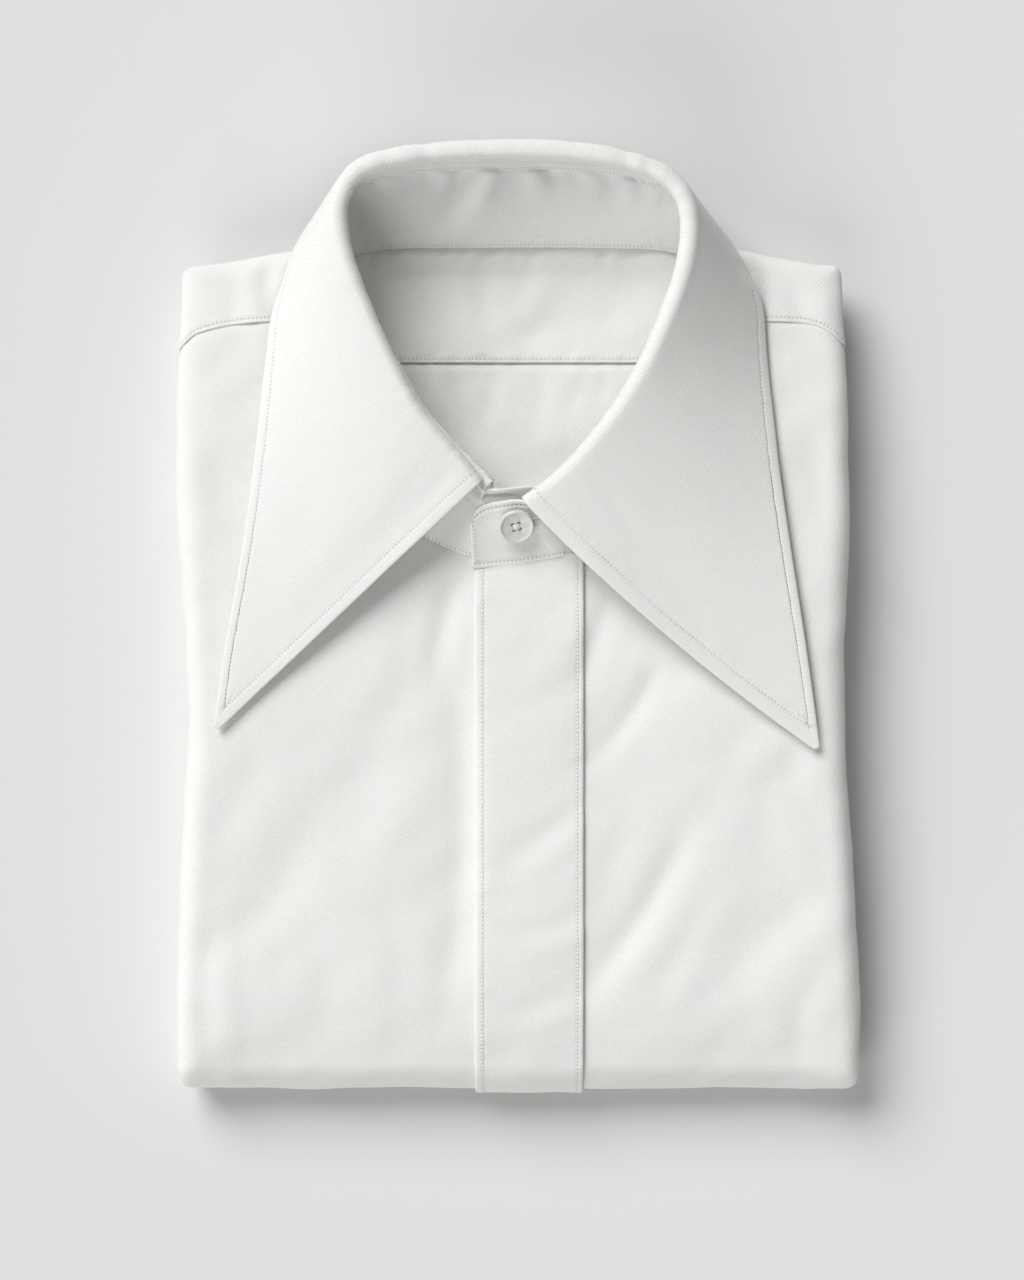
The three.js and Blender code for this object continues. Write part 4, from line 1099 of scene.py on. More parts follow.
def inner_layers(material):
    """The rounded heap of hidden layers: the sleeves, the back and the turned-in sides."""
    turns = np.linspace(0, HEAP_TURN, 12)[1:]
    u = np.concatenate([(-1 - turns)[::-1], np.linspace(-1, 1, 60), 1 + turns])
    end = np.linspace(-HEAP_TURN * END_LENGTH, 0, 10)
    flat = np.linspace(0, FRONT_LENGTH, 80)[1:]
    bend = FRONT_LENGTH + np.linspace(0, 0.5, 12)[1:] * BEND_LENGTH
    v = np.concatenate([end, flat, bend])
    grid_u, grid_v = np.broadcast_arrays(u[None, :], v[:, None])
    s, t = cloth_place(grid_u, grid_v)
    edge = rise(np.abs(grid_u), 1.0, 1.4)
    uneven = edge * (1.1 * np.sin(grid_u * 23) + swell(s, t, 71, 14, 34, 0.5))
    upper = skin(grid_u, grid_v, -HEAP_SUNK - np.abs(uneven) - bottom_slope(s, t) * 1.2)
    share = neck_share(upper[..., 0], upper[..., 1])
    sunk = np.minimum(upper[..., 2], basin(upper[..., 0], upper[..., 1]) - 1.7)
    upper[..., 2] = np.where(share < 1.02, sunk, upper[..., 2])
    lower = skin(grid_u, BENEATH + FRONT_LENGTH - grid_v, -HEAP_RAISED - np.abs(uneven))
    rows, columns = upper.shape[:2]
    total = rows * columns
    ring = border(rows, columns)
    points = np.concatenate([upper.reshape(-1, 3), lower.reshape(-1, 3)])
    sheets = [grid_faces(rows, columns), grid_faces(rows, columns, total, turned=True)]
    faces = facing_out(points, np.concatenate([*sheets, rim_faces(ring, total + ring)]))
    fields = {key: np.concatenate([value.reshape(total, 3)] * 2) for key, value in fields_of(s, t).items()}
    return add_mesh("inner_layers", points, faces, material, fields)


# ---- the collar ----

LEFT_MARGIN = 3.2  # stitch row inside the left leaf's front edge
RIGHT_MARGIN = 4.5
EDGE_MARGIN = (3.2, 2.8)  # inside the outer edge, at the left tip and at the right
TAB_MARGIN = 1.7
FOOT_MARGIN = 1.5
WELT = 4.1  # from the stand's head down to the fall's narrow welt, its stitches and the stand's upper stitch row
WELT_ROW = 5.4
STAND_ROW = 8.8
STEER = 0.57  # how far along the collar the curves at its two ends take their direction from
LIP = 3.1  # from the stand's head down to the lip that shows beneath the left leaf's corner
BELLY = 3.2  # how far the back of the stand leans into the neck
JOINT_PASSES = 60  # smoothing where the stand turns from the neck on to the tab
TIP_ROUND = 2.4
ROLL_POINTS = 16
# Folds down the back of the stand's inside: X at the head and 30 mm below it, width, depth and reach.
STAND_FOLDS = (
    (-50, -49, 2.6, 1.44, 22),
    (-44, -45, 2.6, -1.26, 22),
    (-36, -36, 2.8, 1.26, 20),
    (-30, -31.5, 2.5, 1.8, 26),
    (-24.5, -27, 2.5, -1.62, 22),
    (-15.3, -23.4, 3.3, 2.7, 44),
    (-5.5, -14.8, 3.8, -2.26, 44),
    (-0.8, -5, 2.6, 1.62, 34),
    (4, 7, 3.2, -2.25, 34),
    (9.8, 12, 2.5, 2.25, 24),
    (18.5, 18, 3.4, 2.03, 24),
    (24, 24, 2.3, -2.03, 20),
    (27.5, 26.5, 2.2, 1.8, 18),
    (33, 30, 2.8, 2.7, 32),
    (38.5, 36, 2.4, -2.03, 26),
    (43, 40, 2.5, 1.8, 24),
    (47.5, 44, 2.4, -1.8, 26),
    (51.5, 48, 2.5, 2.25, 30),
    (56.5, 53, 2.3, -1.58, 24),
)
# Pinches across the roll at the back: X and depth.
ROLL_PINCHES = ((-44, 0.3), (-31, 0.6), (-12, 0.2), (18, 0.25), (36.5, 0.6), (44, 0.35))


def stand_lines():
    """Foot and head points along the stand, from its end beneath, round the neck and to the end of the tab."""
    places = np.linspace(0, LAST_PLACE, 480)
    before, after = np.linspace(0, 2, 26)[:-1], np.linspace(1, 6, 84)[1:]
    rings, starts, ends = (
        stand_line(collar_row(at)) for at in (places, np.array([STEER]), np.array([LAST_PLACE - STEER]))
    )
    lines = []
    for k in (0, 1):
        under = np.array([line[k] for line in UNDER_END] + [rings[k][0], starts[k][0]], float)
        tab = np.array([ends[k][0], rings[k][-1]] + [line[k] for line in TAB_END], float)
        ways = ((under, before), (tab, after))
        under, tab = (np.stack([column(points[:, axis], at) for axis in range(3)], axis=-1) for points, at in ways)
        lines.append(np.concatenate([under, rings[k], tab]))
    return *lines, len(before), len(before) + len(places)


def stand_folds(x, down):
    height = 0
    for at_head, below, width, depth, reach in STAND_FOLDS:
        aside = (x - lerp(at_head, below, down / 30)) / (width * (1 + down / 60))
        along = rise(down, STAND_ROW + 0.4, STAND_ROW + 3) * (1 - rise(down, reach * 0.35, reach))
        height = height + depth * (0.2 * hump(aside - 1.7) - hump(aside)) * along
    return height


def collar_stand_piece(material, thread):
    feet, heads, ring_start, ring_end = stand_lines()
    share = np.concatenate([np.linspace(0, 0.12, 9), np.linspace(0.12, 0.72, 15)[1:-1], np.linspace(0.72, 1, 34)])
    grid = feet[:, None] + (heads - feet)[:, None] * share[:, None]
    normals = grid_normals(grid)
    if normals[len(grid) // 2, 10, 2] < 0:
        normals = -normals
    length = np.linalg.norm(heads - feet, axis=1)[:, None]
    height, down = length * share, length * (1 - share)
    run = run_along((feet + heads) / 2)[:, None] + np.zeros_like(height)
    to_end = run[-1, 0] - run
    index = np.arange(len(grid))
    tab = index >= ring_end - 3
    index = index[:, None]
    place = np.clip((index - ring_start) / (ring_end - 1 - ring_start), 0, 1) * LAST_PLACE

    # Relief: lean, gathers under the upper row, folds and welt at the back, hems, and the tab's turned edge.
    on_ring = rise(index, ring_start, ring_start + 8) * (1 - rise(index, ring_end - 8, ring_end))
    behind = rise(grid[..., 1], 118, 136) * on_ring
    at_back = rise(heads[:, 1], 120, 150)[:, None] * on_ring
    gathers = np.exp(-np.maximum(0, down - STAND_ROW) / 3.0) * rise(down, STAND_ROW, STAND_ROW + 1.5)
    ledge = 0.3 * (1 - rise(down, STAND_ROW + 0.6, STAND_ROW + 1.8))
    relief = on_ring * 0.3 * ripples(run, 81, 3.8) * gathers - BELLY * at_back * np.sin(np.pi * share**1.5)
    relief += behind * (stand_folds(grid[..., 0], down) + ledge)
    relief += at_back * (0.5 * hump(down - WELT, 0.5) - 0.12 * hump(down - WELT_ROW, 0.5))
    relief += on_ring * 0.16 * ripples(run, 82, 7.0) * hump(height - 3.0, 2.4)
    relief += on_ring * (hem(down, STAND_ROW, 0, 0.16) + hem(height, FOOT_MARGIN, 0.08, 0.12))
    to_border = np.minimum(np.minimum(height, down), to_end)
    relief -= (index >= ring_end - 4) * hem(to_border, TAB_MARGIN, 0.05, 0.1)
    relief += swell(run, height, 83, 16, 40, 0.16)
    peek = (1 - rise(place, 3.6, 5.6)) * rise(index, ring_start - 9, ring_start - 1)
    lip = peek * lerp(6.6, 5.7, rise(place, 0, 2.2)) * hump(down - LIP, 1.1)
    grid = grid + normals * relief[..., None] + unit(normals * np.array([1, 1, 0])) * lip[..., None]
    first, last = ring_end - 16, ring_end + 26
    for _ in range(JOINT_PASSES):
        grid[first:last] = (grid[first - 1 : last - 1] + 2 * grid[first:last] + grid[first + 1 : last + 1]) / 4

    # Stitch rows: round the neck on its outer side, round the tab on the face that shows.
    outer, face = grid + normals * STAND_THICK / 2, grid - normals * STAND_THICK / 2
    kept = tab & (to_end[:, 0] > TAB_MARGIN)
    inside = (share > 0.1) & (share < 0.9)
    ring = slice(ring_start, ring_end - 3)
    back = np.where(heads[:, 1] > 128)[0]
    back = slice(back[0], back[-1])
    ring_rows = [
        iso_line(outer[ring], normals[ring], -down[ring], -STAND_ROW),
        iso_line(outer[ring], normals[ring], height[ring], FOOT_MARGIN),
    ]
    tab_rows = [
        iso_line(face[kept], -normals[kept], height[kept], TAB_MARGIN),
        iso_line(face[kept], -normals[kept], -down[kept], -TAB_MARGIN),
        iso_line_down(face[tab][:, inside], -normals[tab][:, inside], -to_end[tab][:, inside], -TAB_MARGIN),
    ]
    welt_row = iso_line(outer[back], normals[back], -down[back], -WELT_ROW)
    gap, row_run = beside(outer, [*ring_rows, welt_row])
    tab_gap, tab_run = beside(face, tab_rows)
    row_run = np.where(tab_gap < gap, tab_run, row_run)
    # Painted shade: the material darkens a line along the stand's foot and, at the back, one beside the fall's welt,
    # where the seams lie in shade.
    groove = np.minimum(height, np.where(at_back > 0.3, np.abs(down - WELT + 0.75), NO_SEAM_SHADE))
    fields = fields_of(run, height, np.minimum(gap, tab_gap), row_run, groove)
    piece = shell("collar_stand_cloth", outer, STAND_THICK, material, fields)
    rows = [*ring_rows, *tab_rows, welt_row]
    return piece, stitch_mesh("collar_stand_stitches", rows, thread, radius=FINE_STITCH, seed=10)


def fall_line(place):
    """The middle of the fall's cloth at a place: down the stand, round the roll and out to the edge."""
    row = collar_row(np.array([place]))
    set_back = 0.34 * max(0.0, 1 - place / 3)
    foot, roll = (points[0] for points in stand_line(collar_row(np.array([place + set_back]))))
    ahead = collar_row(np.array([min(LAST_PLACE, place + 0.1)]))
    behind = collar_row(np.array([max(0.0, place - 0.1)]))
    run = unit(np.array([*(ahead[key][0] - behind[key][0] for key in ("roll_x", "roll_y")), 0]))
    outward = np.array([-run[1], run[0], 0])
    edge = np.array([row[key][0] for key in ("edge_x", "edge_y", "edge_z")])
    stand, fall = roll - foot, edge - roll
    stand_angle = math.atan2(stand[2], float(stand @ outward))
    fall_angle = math.atan2(fall[2], math.hypot(fall[0], fall[1]))
    turn = np.linspace(stand_angle + math.pi / 2, fall_angle + math.pi / 2, ROLL_POINTS)[:, None]
    radius = float(roll_radius(place))
    arc = roll + outward * radius * np.cos(turn) + np.array([0, 0, radius]) * np.sin(turn)
    tuck = float(rise(place, 6, 9) * (1 - rise(place, 15.5, 18.5)))
    inside = arc[0] - stand / np.linalg.norm(stand) * lerp(TURN_IN, 1.2, tuck)
    inside = inside - unit(arc[0] - roll) * tuck * max(0.0, radius - 1.15)
    start = arc[-1]
    lie = min(1.0, max(0.0, (float(np.linalg.norm(edge - start)) - 50) / 60))
    aside = run * row["bow"][0] * 1.35
    one = lerp(start, edge, 1 / 3) + aside + np.array([0, 0, 0.8 - 2.2 * lie])
    two = lerp(start, edge, 2 / 3) + aside + np.array([0, 0, 0.6 - 3.2 * lie])
    along = np.linspace(0, 1, 40)[1:, None]
    back = 1 - along
    path = back**3 * start + 3 * back**2 * along * one + 3 * back * along**2 * two + along**3 * edge
    return np.concatenate([[inside], arc, path])


def rounded_tip(points, tip, along_edge, along_front, size=TIP_ROUND):
    """Points near a leaf's tip moved so that a square corner becomes a quarter round."""
    first, second = unit(along_edge - tip), unit(along_front - tip)
    cross = float(first @ second)
    one, two = (points - tip) @ first, (points - tip) @ second
    u = np.clip(1 - (one - cross * two) / (1 - cross**2) / size, 0, 1)
    v = np.clip(1 - (two - cross * one) / (1 - cross**2) / size, 0, 1)
    move_a = size * (1 - u * np.sqrt(1 - v**2 / 2)) - size * (1 - u)
    move_b = size * (1 - v * np.sqrt(1 - u**2 / 2)) - size * (1 - v)
    return points + move_a[..., None] * first + move_b[..., None] * second


def fall_grid(places):
    """Lines of the fall at places round the collar, each with its points close together near the edge."""
    from_edge = np.array([0, 0.3, 0.65, 1.0, 1.4, 1.8, 2.2, 2.5, 2.8, 3.1, 3.5, 4.0, 4.8, 6.0, 7.6])
    lines = []
    for place in places:
        line = fall_line(place)
        run = run_along(line)
        roll_end, near_edge = run[ROLL_POINTS], run[-1] - from_edge[::-1]
        middle = np.linspace(roll_end, near_edge[0], 36)[1:-1]
        lines.append(read_along(np.concatenate([np.linspace(0, roll_end, 20), middle, near_edge]), run, line))
    return np.array(lines)


def collar_fall_piece(material, thread):
    dense = [0, 0.012, 0.026, 0.04, 0.055, 0.07, 0.085, 0.1, 0.115, 0.13, 0.148, 0.17, 0.195, 0.23, 0.28, 0.34]
    dense = np.array(dense)
    places = np.concatenate([dense, np.linspace(0.42, LAST_PLACE - 0.42, 226), LAST_PLACE - dense[::-1]])
    grid = fall_grid(places)
    normals = grid_normals(grid)
    if normals[20, grid.shape[1] // 2, 2] < 0:
        normals = -normals
    steps = np.linalg.norm(np.diff(grid, axis=1), axis=2)
    out = np.concatenate([np.zeros((len(grid), 1)), np.cumsum(steps, axis=1)], axis=1)
    to_edge = out[:, -1:] - out
    left_gap, left_run = line_distance(grid, grid[0][::3])
    right_gap, right_run = line_distance(grid, grid[-1][::3])
    along = run_along(grid[:, -1])[:, None] + np.zeros_like(out)
    margin = lerp(*EDGE_MARGIN, places[:, None] / LAST_PLACE)

    # Relief: the hems, puckers beside their rows, swells, and pinches across the roll.
    turned = 1 - rise(out, 4, 9)
    front_gap = np.minimum(left_gap - LEFT_MARGIN, right_gap - RIGHT_MARGIN)
    relief = hem(to_edge * 3.0 / margin, 3.0, 0.06, 0.12) * rise(front_gap, -0.5, 0.5)
    for gap, run, width, seed in ((left_gap, left_run, LEFT_MARGIN, 92), (right_gap, right_run, RIGHT_MARGIN, 93)):
        relief += hem(gap, width, 0.06, 0.12) * (1 - turned) * rise(to_edge - margin, -0.5, 0.5)
        relief += 0.14 * ripples(run, seed, 8.0) * hump(gap - width - 1.2, 2.0) * (1 - turned)
    tips = np.exp(-np.hypot(left_gap, to_edge) / 9) + np.exp(-np.hypot(right_gap, to_edge) / 9)
    relief += 0.16 * ripples(along, 91, 8.0) * hump(to_edge - margin - 1.2, 2.0) * (1 - tips)
    swells = swell(along, to_edge, 94, 45, 110, 0.30) + swell(along, to_edge, 95, 16, 30, 0.05)
    relief += swells * (1 - turned) + 0.1 * ripples(along, 96, 11.0) * turned
    for x, depth in ROLL_PINCHES:
        pinch = hump(grid[..., 0] - x, 2.2) * rise(grid[..., 1], 140, 150)
        relief -= depth * pinch * (1 - rise(out, 5, 12))
    grid = grid + normals * relief[..., None]
    grid[:40] = rounded_tip(grid[:40], grid[0, -1], grid[6, -1], grid[0, -8])
    grid[-40:] = rounded_tip(grid[-40:], grid[-1, -1], grid[-7, -1], grid[-1, -8])

    outer = grid + normals * FALL_THICK / 2
    keep = (left_gap[:, -10] > LEFT_MARGIN) & (right_gap[:, -10] > RIGHT_MARGIN)
    rows = [iso_line(outer[keep], normals[keep], (margin - to_edge)[keep], 0.0)]
    leaves = ((1, left_gap, LEFT_MARGIN, EDGE_MARGIN[0]), (-1, right_gap, RIGHT_MARGIN, EDGE_MARGIN[1]))
    for order, gap, width, from_edge in leaves:
        inner = (to_edge[::order][0] > from_edge) & (np.arange(grid.shape[1]) > 12)
        points, uprights, values = (part[::order][:60, inner] for part in (outer, normals, gap))
        rows.append(iso_line_down(points, uprights, values, width))
    fields = fields_of(grid[..., 0], grid[..., 1] + 0.7 * grid[..., 2], *beside(outer, rows))
    piece = shell("collar_fall_cloth", outer, FALL_THICK, material, fields, edge=TWO_PLY_EDGE)
    return piece, stitch_mesh("collar_fall_stitches", rows, thread, seed=12)


# ---- the button ----

BUTTON_THICK = 1.6
BUTTON_SIDES = 96
# The button's outline from beneath, in from its rim, with heights.
BUTTON_RIM = (
    (1.0, 0.0),
    (0.35, 0.25),
    (0.05, 0.8),
    (0, 1.2),
    (0.08, 1.6),
    (0.3, 1.96),
    (0.6, 2.08),
    (0.9, 2.06),
    (1.12, 1.92),
    (1.35, 1.74),
    (1.7, 1.68),
)
BUTTON_HUB = 0.9
BUTTON_DISH = 1.6
HOLES = (45, 135, 225, 315)
HOLE_PLACE = 1.45
HOLE_RADIUS = 0.72
HOLE_SIDES = 20
STRAND_CORNERS = 8
BUTTONHOLE_FROM = -5.0
BUTTONHOLE_TO = 9.2
BUTTONHOLE_HALF = 0.95


def button_frame():
    """Where the button sits on the tab: its middle, and its right, up and outward directions."""
    (foot, head), (next_foot, next_head) = (np.array(TAB_END[k], float) for k in (1, 0))
    middle = lerp(lerp(foot, head, 0.65), lerp(next_foot, next_head, 0.65), 0.34)
    up = unit(head - foot)
    normal = unit(np.cross(unit(next_foot - foot), up))
    return middle + normal * (BUTTON_STAND_WALL / 2 + BUTTON_SEAT), np.cross(up, normal), up, normal


def circle(radius, sides, height, x=0.0, y=0.0):
    turns = np.arange(sides) * 2 * math.pi / sides
    return np.stack([x + radius * np.cos(turns), y + radius * np.sin(turns), height + 0 * turns], axis=-1)


def plain_object(name, points, faces):
    mesh = bpy.data.meshes.new(name)
    mesh.from_pydata([tuple(point * MM) for point in points], [], faces)
    return new_object(name, mesh)


def button_holes():
    """Four drills through the button."""
    points, faces = [], []
    ring, after = np.arange(HOLE_SIDES), (np.arange(HOLE_SIDES) + 1) % HOLE_SIDES
    for corner in HOLES:
        x, y = HOLE_PLACE * math.cos(math.radians(corner)), HOLE_PLACE * math.sin(math.radians(corner))
        first = len(points)
        points += [*circle(HOLE_RADIUS, HOLE_SIDES, -2.0, x, y), *circle(HOLE_RADIUS, HOLE_SIDES, 4.0, x, y)]
        walls = np.stack([ring, after, HOLE_SIDES + after, HOLE_SIDES + ring], axis=-1) + first
        faces += [*walls.tolist(), (first + ring[::-1]).tolist(), (first + HOLE_SIDES + ring).tolist()]
    return plain_object("button_drill", points, faces)


def collar_button_piece(sizes, material):
    radius = sizes.button_width / 2 / MM
    profile = [(radius - inward, height) for inward, height in BUTTON_RIM]
    profile = [(BUTTON_HUB, 0.0), *profile, (BUTTON_DISH, BUTTON_THICK), (BUTTON_HUB, BUTTON_THICK)]
    rings = [circle(wide, BUTTON_SIDES, height) for wide, height in profile]
    points = np.concatenate([*rings, [[0, 0, 0], [0, 0, BUTTON_THICK]]])
    index = np.arange(BUTTON_SIDES)
    after = np.roll(index, -1)
    faces = []
    for first in range(0, (len(profile) - 1) * BUTTON_SIDES, BUTTON_SIDES):
        faces += (np.stack([index, after, after + BUTTON_SIDES, index + BUTTON_SIDES], axis=-1) + first).tolist()
    last = (len(profile) - 1) * BUTTON_SIDES
    faces += [(len(points) - 2, b, a) for a, b in zip(index, after)]
    faces += [(len(points) - 1, last + a, last + b) for a, b in zip(index, after)]
    disc, drill = plain_object("button_blank", points, faces), button_holes()
    cut = disc.modifiers.new("holes", "BOOLEAN")
    cut.operation, cut.solver, cut.object = "DIFFERENCE", "EXACT", drill
    bevel = disc.modifiers.new("edges", "BEVEL")
    bevel.width, bevel.segments, bevel.limit_method, bevel.angle_limit = 0.08 * MM, 2, "ANGLE", math.radians(50)
    made = bpy.data.meshes.new_from_object(disc.evaluated_get(bpy.context.evaluated_depsgraph_get()))
    for extra in (disc, drill):
        bpy.data.objects.remove(extra)
    middle, *directions = button_frame()
    turn = Matrix(np.column_stack(directions).tolist()).to_4x4()
    turn.translation = Vector((middle + np.array([0, MIDDLE_SHIFT, 0])) * MM)
    made.transform(turn)
    made.name = "collar_button_disc"
    made.polygons.foreach_set("use_smooth", np.ones(len(made.polygons), bool))
    made.materials.clear()
    made.materials.append(material)
    return new_object("collar_button_disc", made)


def strand(start, end, radius, arch, steps):
    """Points of a short strand of thread that arches from one point to another."""
    side, up = unit(np.cross(unit(end - start), np.array([0, 0, 1.0]))), np.array([0, 0, 1])
    points = []
    for share in np.arange(steps) / (steps - 1):
        centre = lerp(start, end, share) + up * (arch * math.sin(math.pi * share))
        for turn in np.arange(STRAND_CORNERS) * 2 * math.pi / STRAND_CORNERS:
            points.append(centre + (side * math.cos(turn) + up * math.sin(turn)) * radius)
    return points


def strands_mesh(name, strands, steps, place, thread):
    """Strands of thread, each given by its two ends, radius and arch, laid on the button's plane at a place."""
    middle, right, up, normal = place
    points = np.concatenate([strand(*one, steps) for one in strands])
    points = middle + points[:, :1] * right + points[:, 1:2] * up + points[:, 2:] * normal
    firsts = np.arange(0, len(points), steps * STRAND_CORNERS)[:, None, None]
    faces = tube_faces(steps, STRAND_CORNERS) + firsts
    return add_mesh(name, points, faces.reshape(-1, 4), thread)


def button_thread_piece(thread):
    strands = []
    for corner, arch in ((HOLES[0], 0.42), (HOLES[1], 0.62)):
        turn = math.radians(corner)
        start = np.array([HOLE_PLACE * math.cos(turn), HOLE_PLACE * math.sin(turn), 1.2])
        end = start * np.array([-1, -1, 1])
        along = unit(end - start)
        for aside in (-0.2, 0.2):
            side = np.array([-along[1], along[0], 0]) * aside
            strands.append((start + side, end + side, 0.2, arch))
    return strands_mesh("collar_button_thread", strands, 9, button_frame(), thread)


def buttonhole_piece(thread):
    """Close stitches round the buttonhole that the button passes through, across the tab."""
    middle, right, up, normal = button_frame()
    half = BUTTONHOLE_HALF
    strands = []
    for side in (-1, 1):
        for x in np.arange(BUTTONHOLE_FROM, BUTTONHOLE_TO, 0.42):
            strands.append((np.array([x, side * 0.12, 0.1]), np.array([x + 0.05, side * half, 0.05]), 0.2, 0.16))
    for x in np.arange(BUTTONHOLE_TO - 0.1, BUTTONHOLE_TO + 0.9, 0.36):
        strands.append((np.array([x, -half, 0.1]), np.array([x, half, 0.1]), 0.21, 0.14))
    place = (middle - normal * (BUTTON_SEAT - 0.02), right, up, normal)
    return strands_mesh("collar_buttonhole", strands, 5, place, thread)


# ---- the add-on ----

FLOOR_RADIUS = 2.6
FLOOR_SIDES = 64
KEY_FROM = (-0.64, 0.9, 1.0)
FRONT_FROM = (-0.4, -0.88, 0.46)
FRONT_WIDTH = 0.9
SKY_COLOUR = (1.0, 0.995, 0.985, 1)
CAMERA_AT = (-0.0021, -0.0074 + MIDDLE_SHIFT * MM, 1.6)
LENS = 128.0
SENSOR = 36.0
CLIP = (0.05, 20)


class ShirtSizes(bpy.types.PropertyGroup):
    """Sizes that a user may change."""

    button_width: FloatProperty(
        name="Button width", description="Diameter of the collar button", default=0.0124, unit="LENGTH"
    )
    twill_pitch: FloatProperty(
        name="Twill pitch", description="Distance between two ribs of the twill", default=0.001, unit="LENGTH"
    )
    twill_depth: FloatProperty(
        name="Twill depth", description="Depth between two ribs of the twill", default=0.000022, unit="LENGTH"
    )
    key_light: FloatProperty(name="Key light", description="Strength of the large soft light", default=2.8)
    key_width: FloatProperty(name="Key width", description="Angle the light fills", default=0.66, unit="ROTATION")
    sky_light: FloatProperty(name="Fill light", description="Strength of the even light all round", default=0.215)
    front_light: FloatProperty(
        name="Front light", description="Strength of the weak light from below", default=1.38
    )


class ShirtColours(bpy.types.PropertyGroup):
    """Colours that a user may change."""

    shirting: FloatVectorProperty(
        name="Shirting", description="Colour of the body's cloth", subtype="COLOR", default=(0.84, 0.832, 0.812)
    )
    collar: FloatVectorProperty(
        name="Collar cloth",
        description="Colour of the collar's cloth",
        subtype="COLOR",
        default=(0.835, 0.828, 0.81),
    )
    thread: FloatVectorProperty(
        name="Thread", description="Colour of the sewing thread", subtype="COLOR", default=(0.86, 0.85, 0.83)
    )
    button: FloatVectorProperty(
        name="Button", description="Colour of the collar button", subtype="COLOR", default=(0.7, 0.69, 0.66)
    )
    floor: FloatVectorProperty(
        name="Floor", description="Colour of the floor", subtype="COLOR", default=(0.735, 0.735, 0.735)
    )


def finish_of(name):
    """One of the shirt's materials, made when it is first asked for."""
    known = bpy.data.materials.get(name)
    if known:
        return known
    sizes, colours = bpy.context.scene.shirt_sizes, bpy.context.scene.shirt_colours
    pitch, depth = sizes.twill_pitch / MM, sizes.twill_depth / MM
    if name == "cotton twill":
        return twill_cloth(name, colours.shirting, pitch, depth)
    if name == "collar twill":
        return twill_cloth(name, colours.collar, pitch, depth * 0.8, 0.8, 0.12, 0.85)
    if name == "sewing thread":
        return thread_finish(name, colours.thread)
    if name == "pearly button":
        return button_finish(name, colours.button)
    return floor_finish(name, colours.floor)


def dress(piece, slot, *nodes):
    """The piece rides on the shirt and stands for the solids that it covers, which are hidden; the slot it is given
    is not used.
    """
    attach(piece, "root")
    if nodes:
        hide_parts(*nodes)
    return piece


class SHIRT_OT_layers(bpy.types.Operator):
    """Add the hidden layers and the tail folded beneath"""

    bl_idname = "shirt.layers"
    bl_label = "Folded layers"

    def execute(self, context):
        cloth = finish_of("cotton twill")
        dress(inner_layers(cloth), "shirting", "folded_layers")
        tail = dress(tail_panel(cloth), "shirting")
        return {"FINISHED"}


class SHIRT_OT_fronts(bpy.types.Operator):
    """Add the two fronts"""

    bl_idname = "shirt.fronts"
    bl_label = "Fronts"

    def execute(self, context):
        cloth = finish_of("cotton twill")
        for side, node in ((-1, "front_right"), (1, "front_left")):
            piece = dress(front_panel(side, node + "_cloth", cloth), "shirting", node)
        return {"FINISHED"}


class SHIRT_OT_placket(bpy.types.Operator):
    """Add the concealed placket and its two stitch rows"""

    bl_idname = "shirt.placket"
    bl_label = "Placket"

    def execute(self, context):
        strip, stitches = placket_strip(finish_of("cotton twill"), finish_of("sewing thread"))
        dress(strip, "shirting", "placket")
        dress(stitches, "shirting")
        return {"FINISHED"}


class SHIRT_OT_yoke(bpy.types.Operator):
    """Add the yoke over the shoulders"""

    bl_idname = "shirt.yoke"
    bl_label = "Yoke"

    def execute(self, context):
        panel, stitches = yoke_panel(finish_of("cotton twill"), finish_of("sewing thread"))
        dress(panel, "shirting", "yoke")
        dress(stitches, "shirting")
        return {"FINISHED"}


class SHIRT_OT_inside(bpy.types.Operator):
    """Add the yoke lining and the back that show inside the neck"""

    bl_idname = "shirt.inside"
    bl_label = "Inside of the neck"

    def execute(self, context):
        cloth = finish_of("cotton twill")
        lining, stitches = lining_panel(cloth, finish_of("sewing thread"))
        dress(lining, "shirting", "yoke_lining")
        dress(stitches, "shirting")
        back = dress(back_panel(cloth), "shirting", "back_inside")
        return {"FINISHED"}


class SHIRT_OT_collar(bpy.types.Operator):
    """Add the collar's stand and fall"""

    bl_idname = "shirt.collar"
    bl_label = "Collar"

    def execute(self, context):
        cloth, thread = finish_of("collar twill"), finish_of("sewing thread")
        stand, stand_stitches = collar_stand_piece(cloth, thread)
        dress(stand, "collar_cloth", "collar_stand")
        dress(stand_stitches, "collar_cloth")
        fall, fall_stitches = collar_fall_piece(cloth, thread)
        dress(fall, "collar_cloth", "collar_fall")
        dress(fall_stitches, "collar_cloth")
        return {"FINISHED"}


class SHIRT_OT_button(bpy.types.Operator):
    """Add the collar button, its thread and the buttonhole"""

    bl_idname = "shirt.button"
    bl_label = "Collar button"

    def execute(self, context):
        thread = finish_of("sewing thread")
        dress(collar_button_piece(context.scene.shirt_sizes, finish_of("pearly button")), "button", "collar_button")
        dress(button_thread_piece(thread), "collar_cloth")
        dress(buttonhole_piece(thread), "collar_cloth")
        return {"FINISHED"}


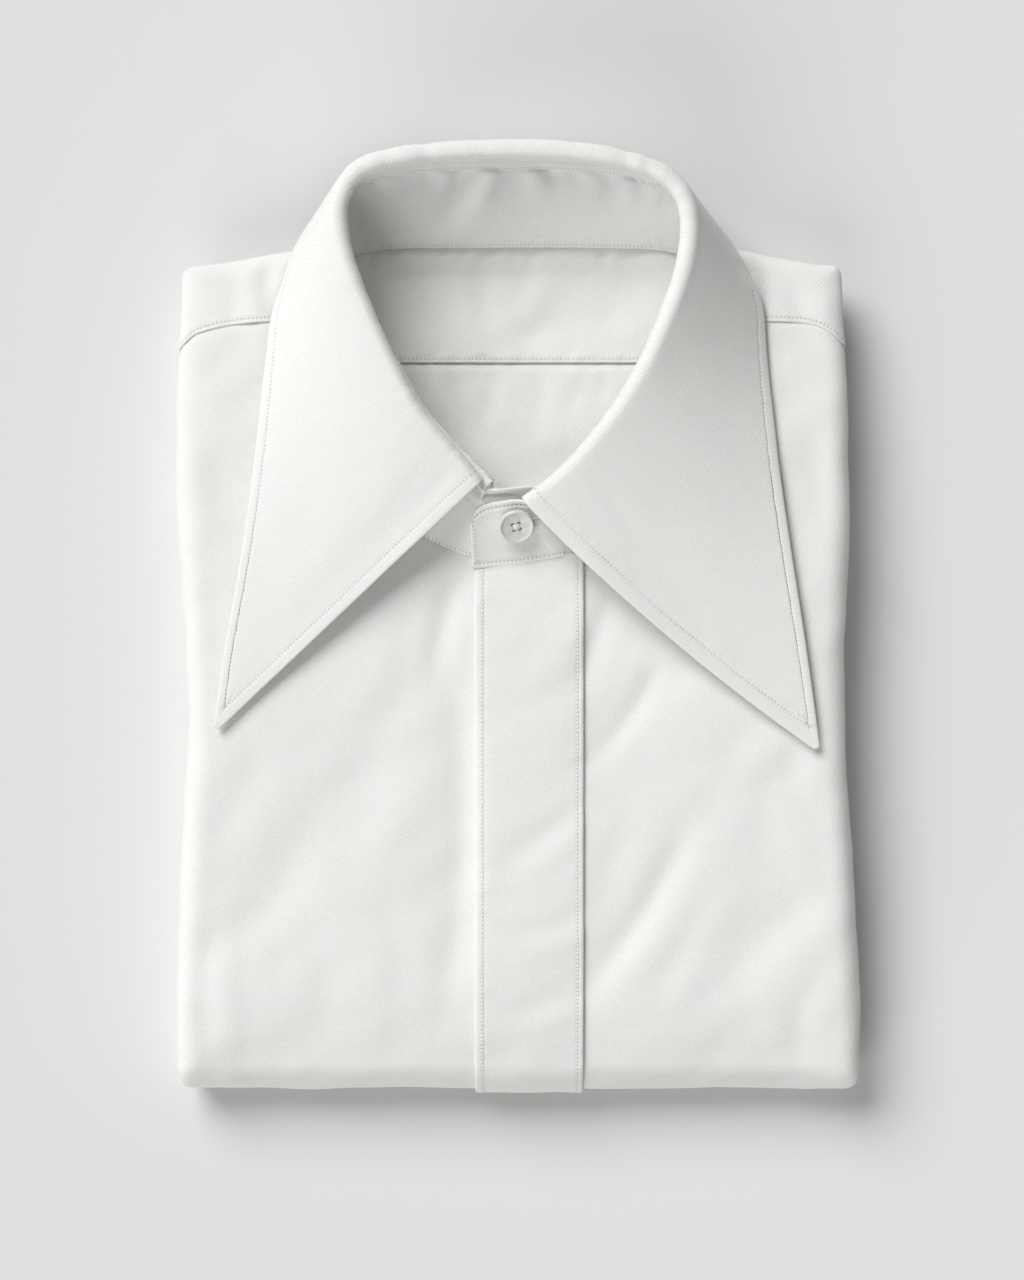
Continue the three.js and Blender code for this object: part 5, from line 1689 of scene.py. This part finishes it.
class SHIRT_OT_stage(bpy.types.Operator):
    """Add the floor, the light and the camera"""

    bl_idname = "shirt.stage"
    bl_label = "Stage"

    def execute(self, context):
        scene, sizes = context.scene, context.scene.shirt_sizes
        rim = circle(FLOOR_RADIUS / MM, FLOOR_SIDES, 0.0)
        floor = plain_object("floor", rim, [list(range(FLOOR_SIDES))])
        floor.data.materials.append(finish_of("matt paper"))
        lights = (
            ("key", sizes.key_light, sizes.key_width, KEY_FROM),
            ("front", sizes.front_light, FRONT_WIDTH, FRONT_FROM),
        )
        for name, energy, angle, toward in lights:
            lamp = bpy.data.lights.new(name, "SUN")
            lamp.energy, lamp.angle = energy, angle
            light = new_object(name, lamp)
            light.rotation_mode = "QUATERNION"
            light.rotation_quaternion = Vector(toward).to_track_quat("Z", "Y")
        world = bpy.data.worlds.new("even light")
        world.use_nodes = True
        background = world.node_tree.nodes["Background"].inputs
        background["Color"].default_value = SKY_COLOUR
        background["Strength"].default_value = sizes.sky_light
        scene.world = world
        scene.view_settings.view_transform = "Standard"
        lens = bpy.data.cameras.new("camera")
        lens.lens, lens.sensor_width = LENS, SENSOR
        lens.clip_start, lens.clip_end = CLIP
        scene.camera = new_object("camera", lens)
        scene.camera.location = CAMERA_AT
        return {"FINISHED"}


STEPS = (
    SHIRT_OT_layers,
    SHIRT_OT_fronts,
    SHIRT_OT_placket,
    SHIRT_OT_yoke,
    SHIRT_OT_inside,
    SHIRT_OT_collar,
    SHIRT_OT_button,
    SHIRT_OT_stage,
)


class SHIRT_PT_panel(bpy.types.Panel):
    """The shirt's sizes, colours and steps"""

    bl_idname = "SHIRT_PT_panel"
    bl_label = "Folded shirt"
    bl_space_type = "VIEW_3D"
    bl_region_type = "UI"
    bl_category = "Shirt"

    def draw(self, context):
        for group in (context.scene.shirt_sizes, context.scene.shirt_colours):
            for name in group.__annotations__:
                self.layout.prop(group, name)
        for step in STEPS:
            self.layout.operator(step.bl_idname)


CLASSES = (ShirtSizes, ShirtColours, *STEPS, SHIRT_PT_panel)


def register():
    for one in CLASSES:
        bpy.utils.register_class(one)
    bpy.types.Scene.shirt_sizes = PointerProperty(type=ShirtSizes)
    bpy.types.Scene.shirt_colours = PointerProperty(type=ShirtColours)


def unregister():
    del bpy.types.Scene.shirt_colours
    del bpy.types.Scene.shirt_sizes
    for one in reversed(CLASSES):
        bpy.utils.unregister_class(one)


def main():
    register()
    for step in STEPS:
        group, name = step.bl_idname.split(".")
        getattr(getattr(bpy.ops, group), name)()


if __name__ == "__main__":
    main()
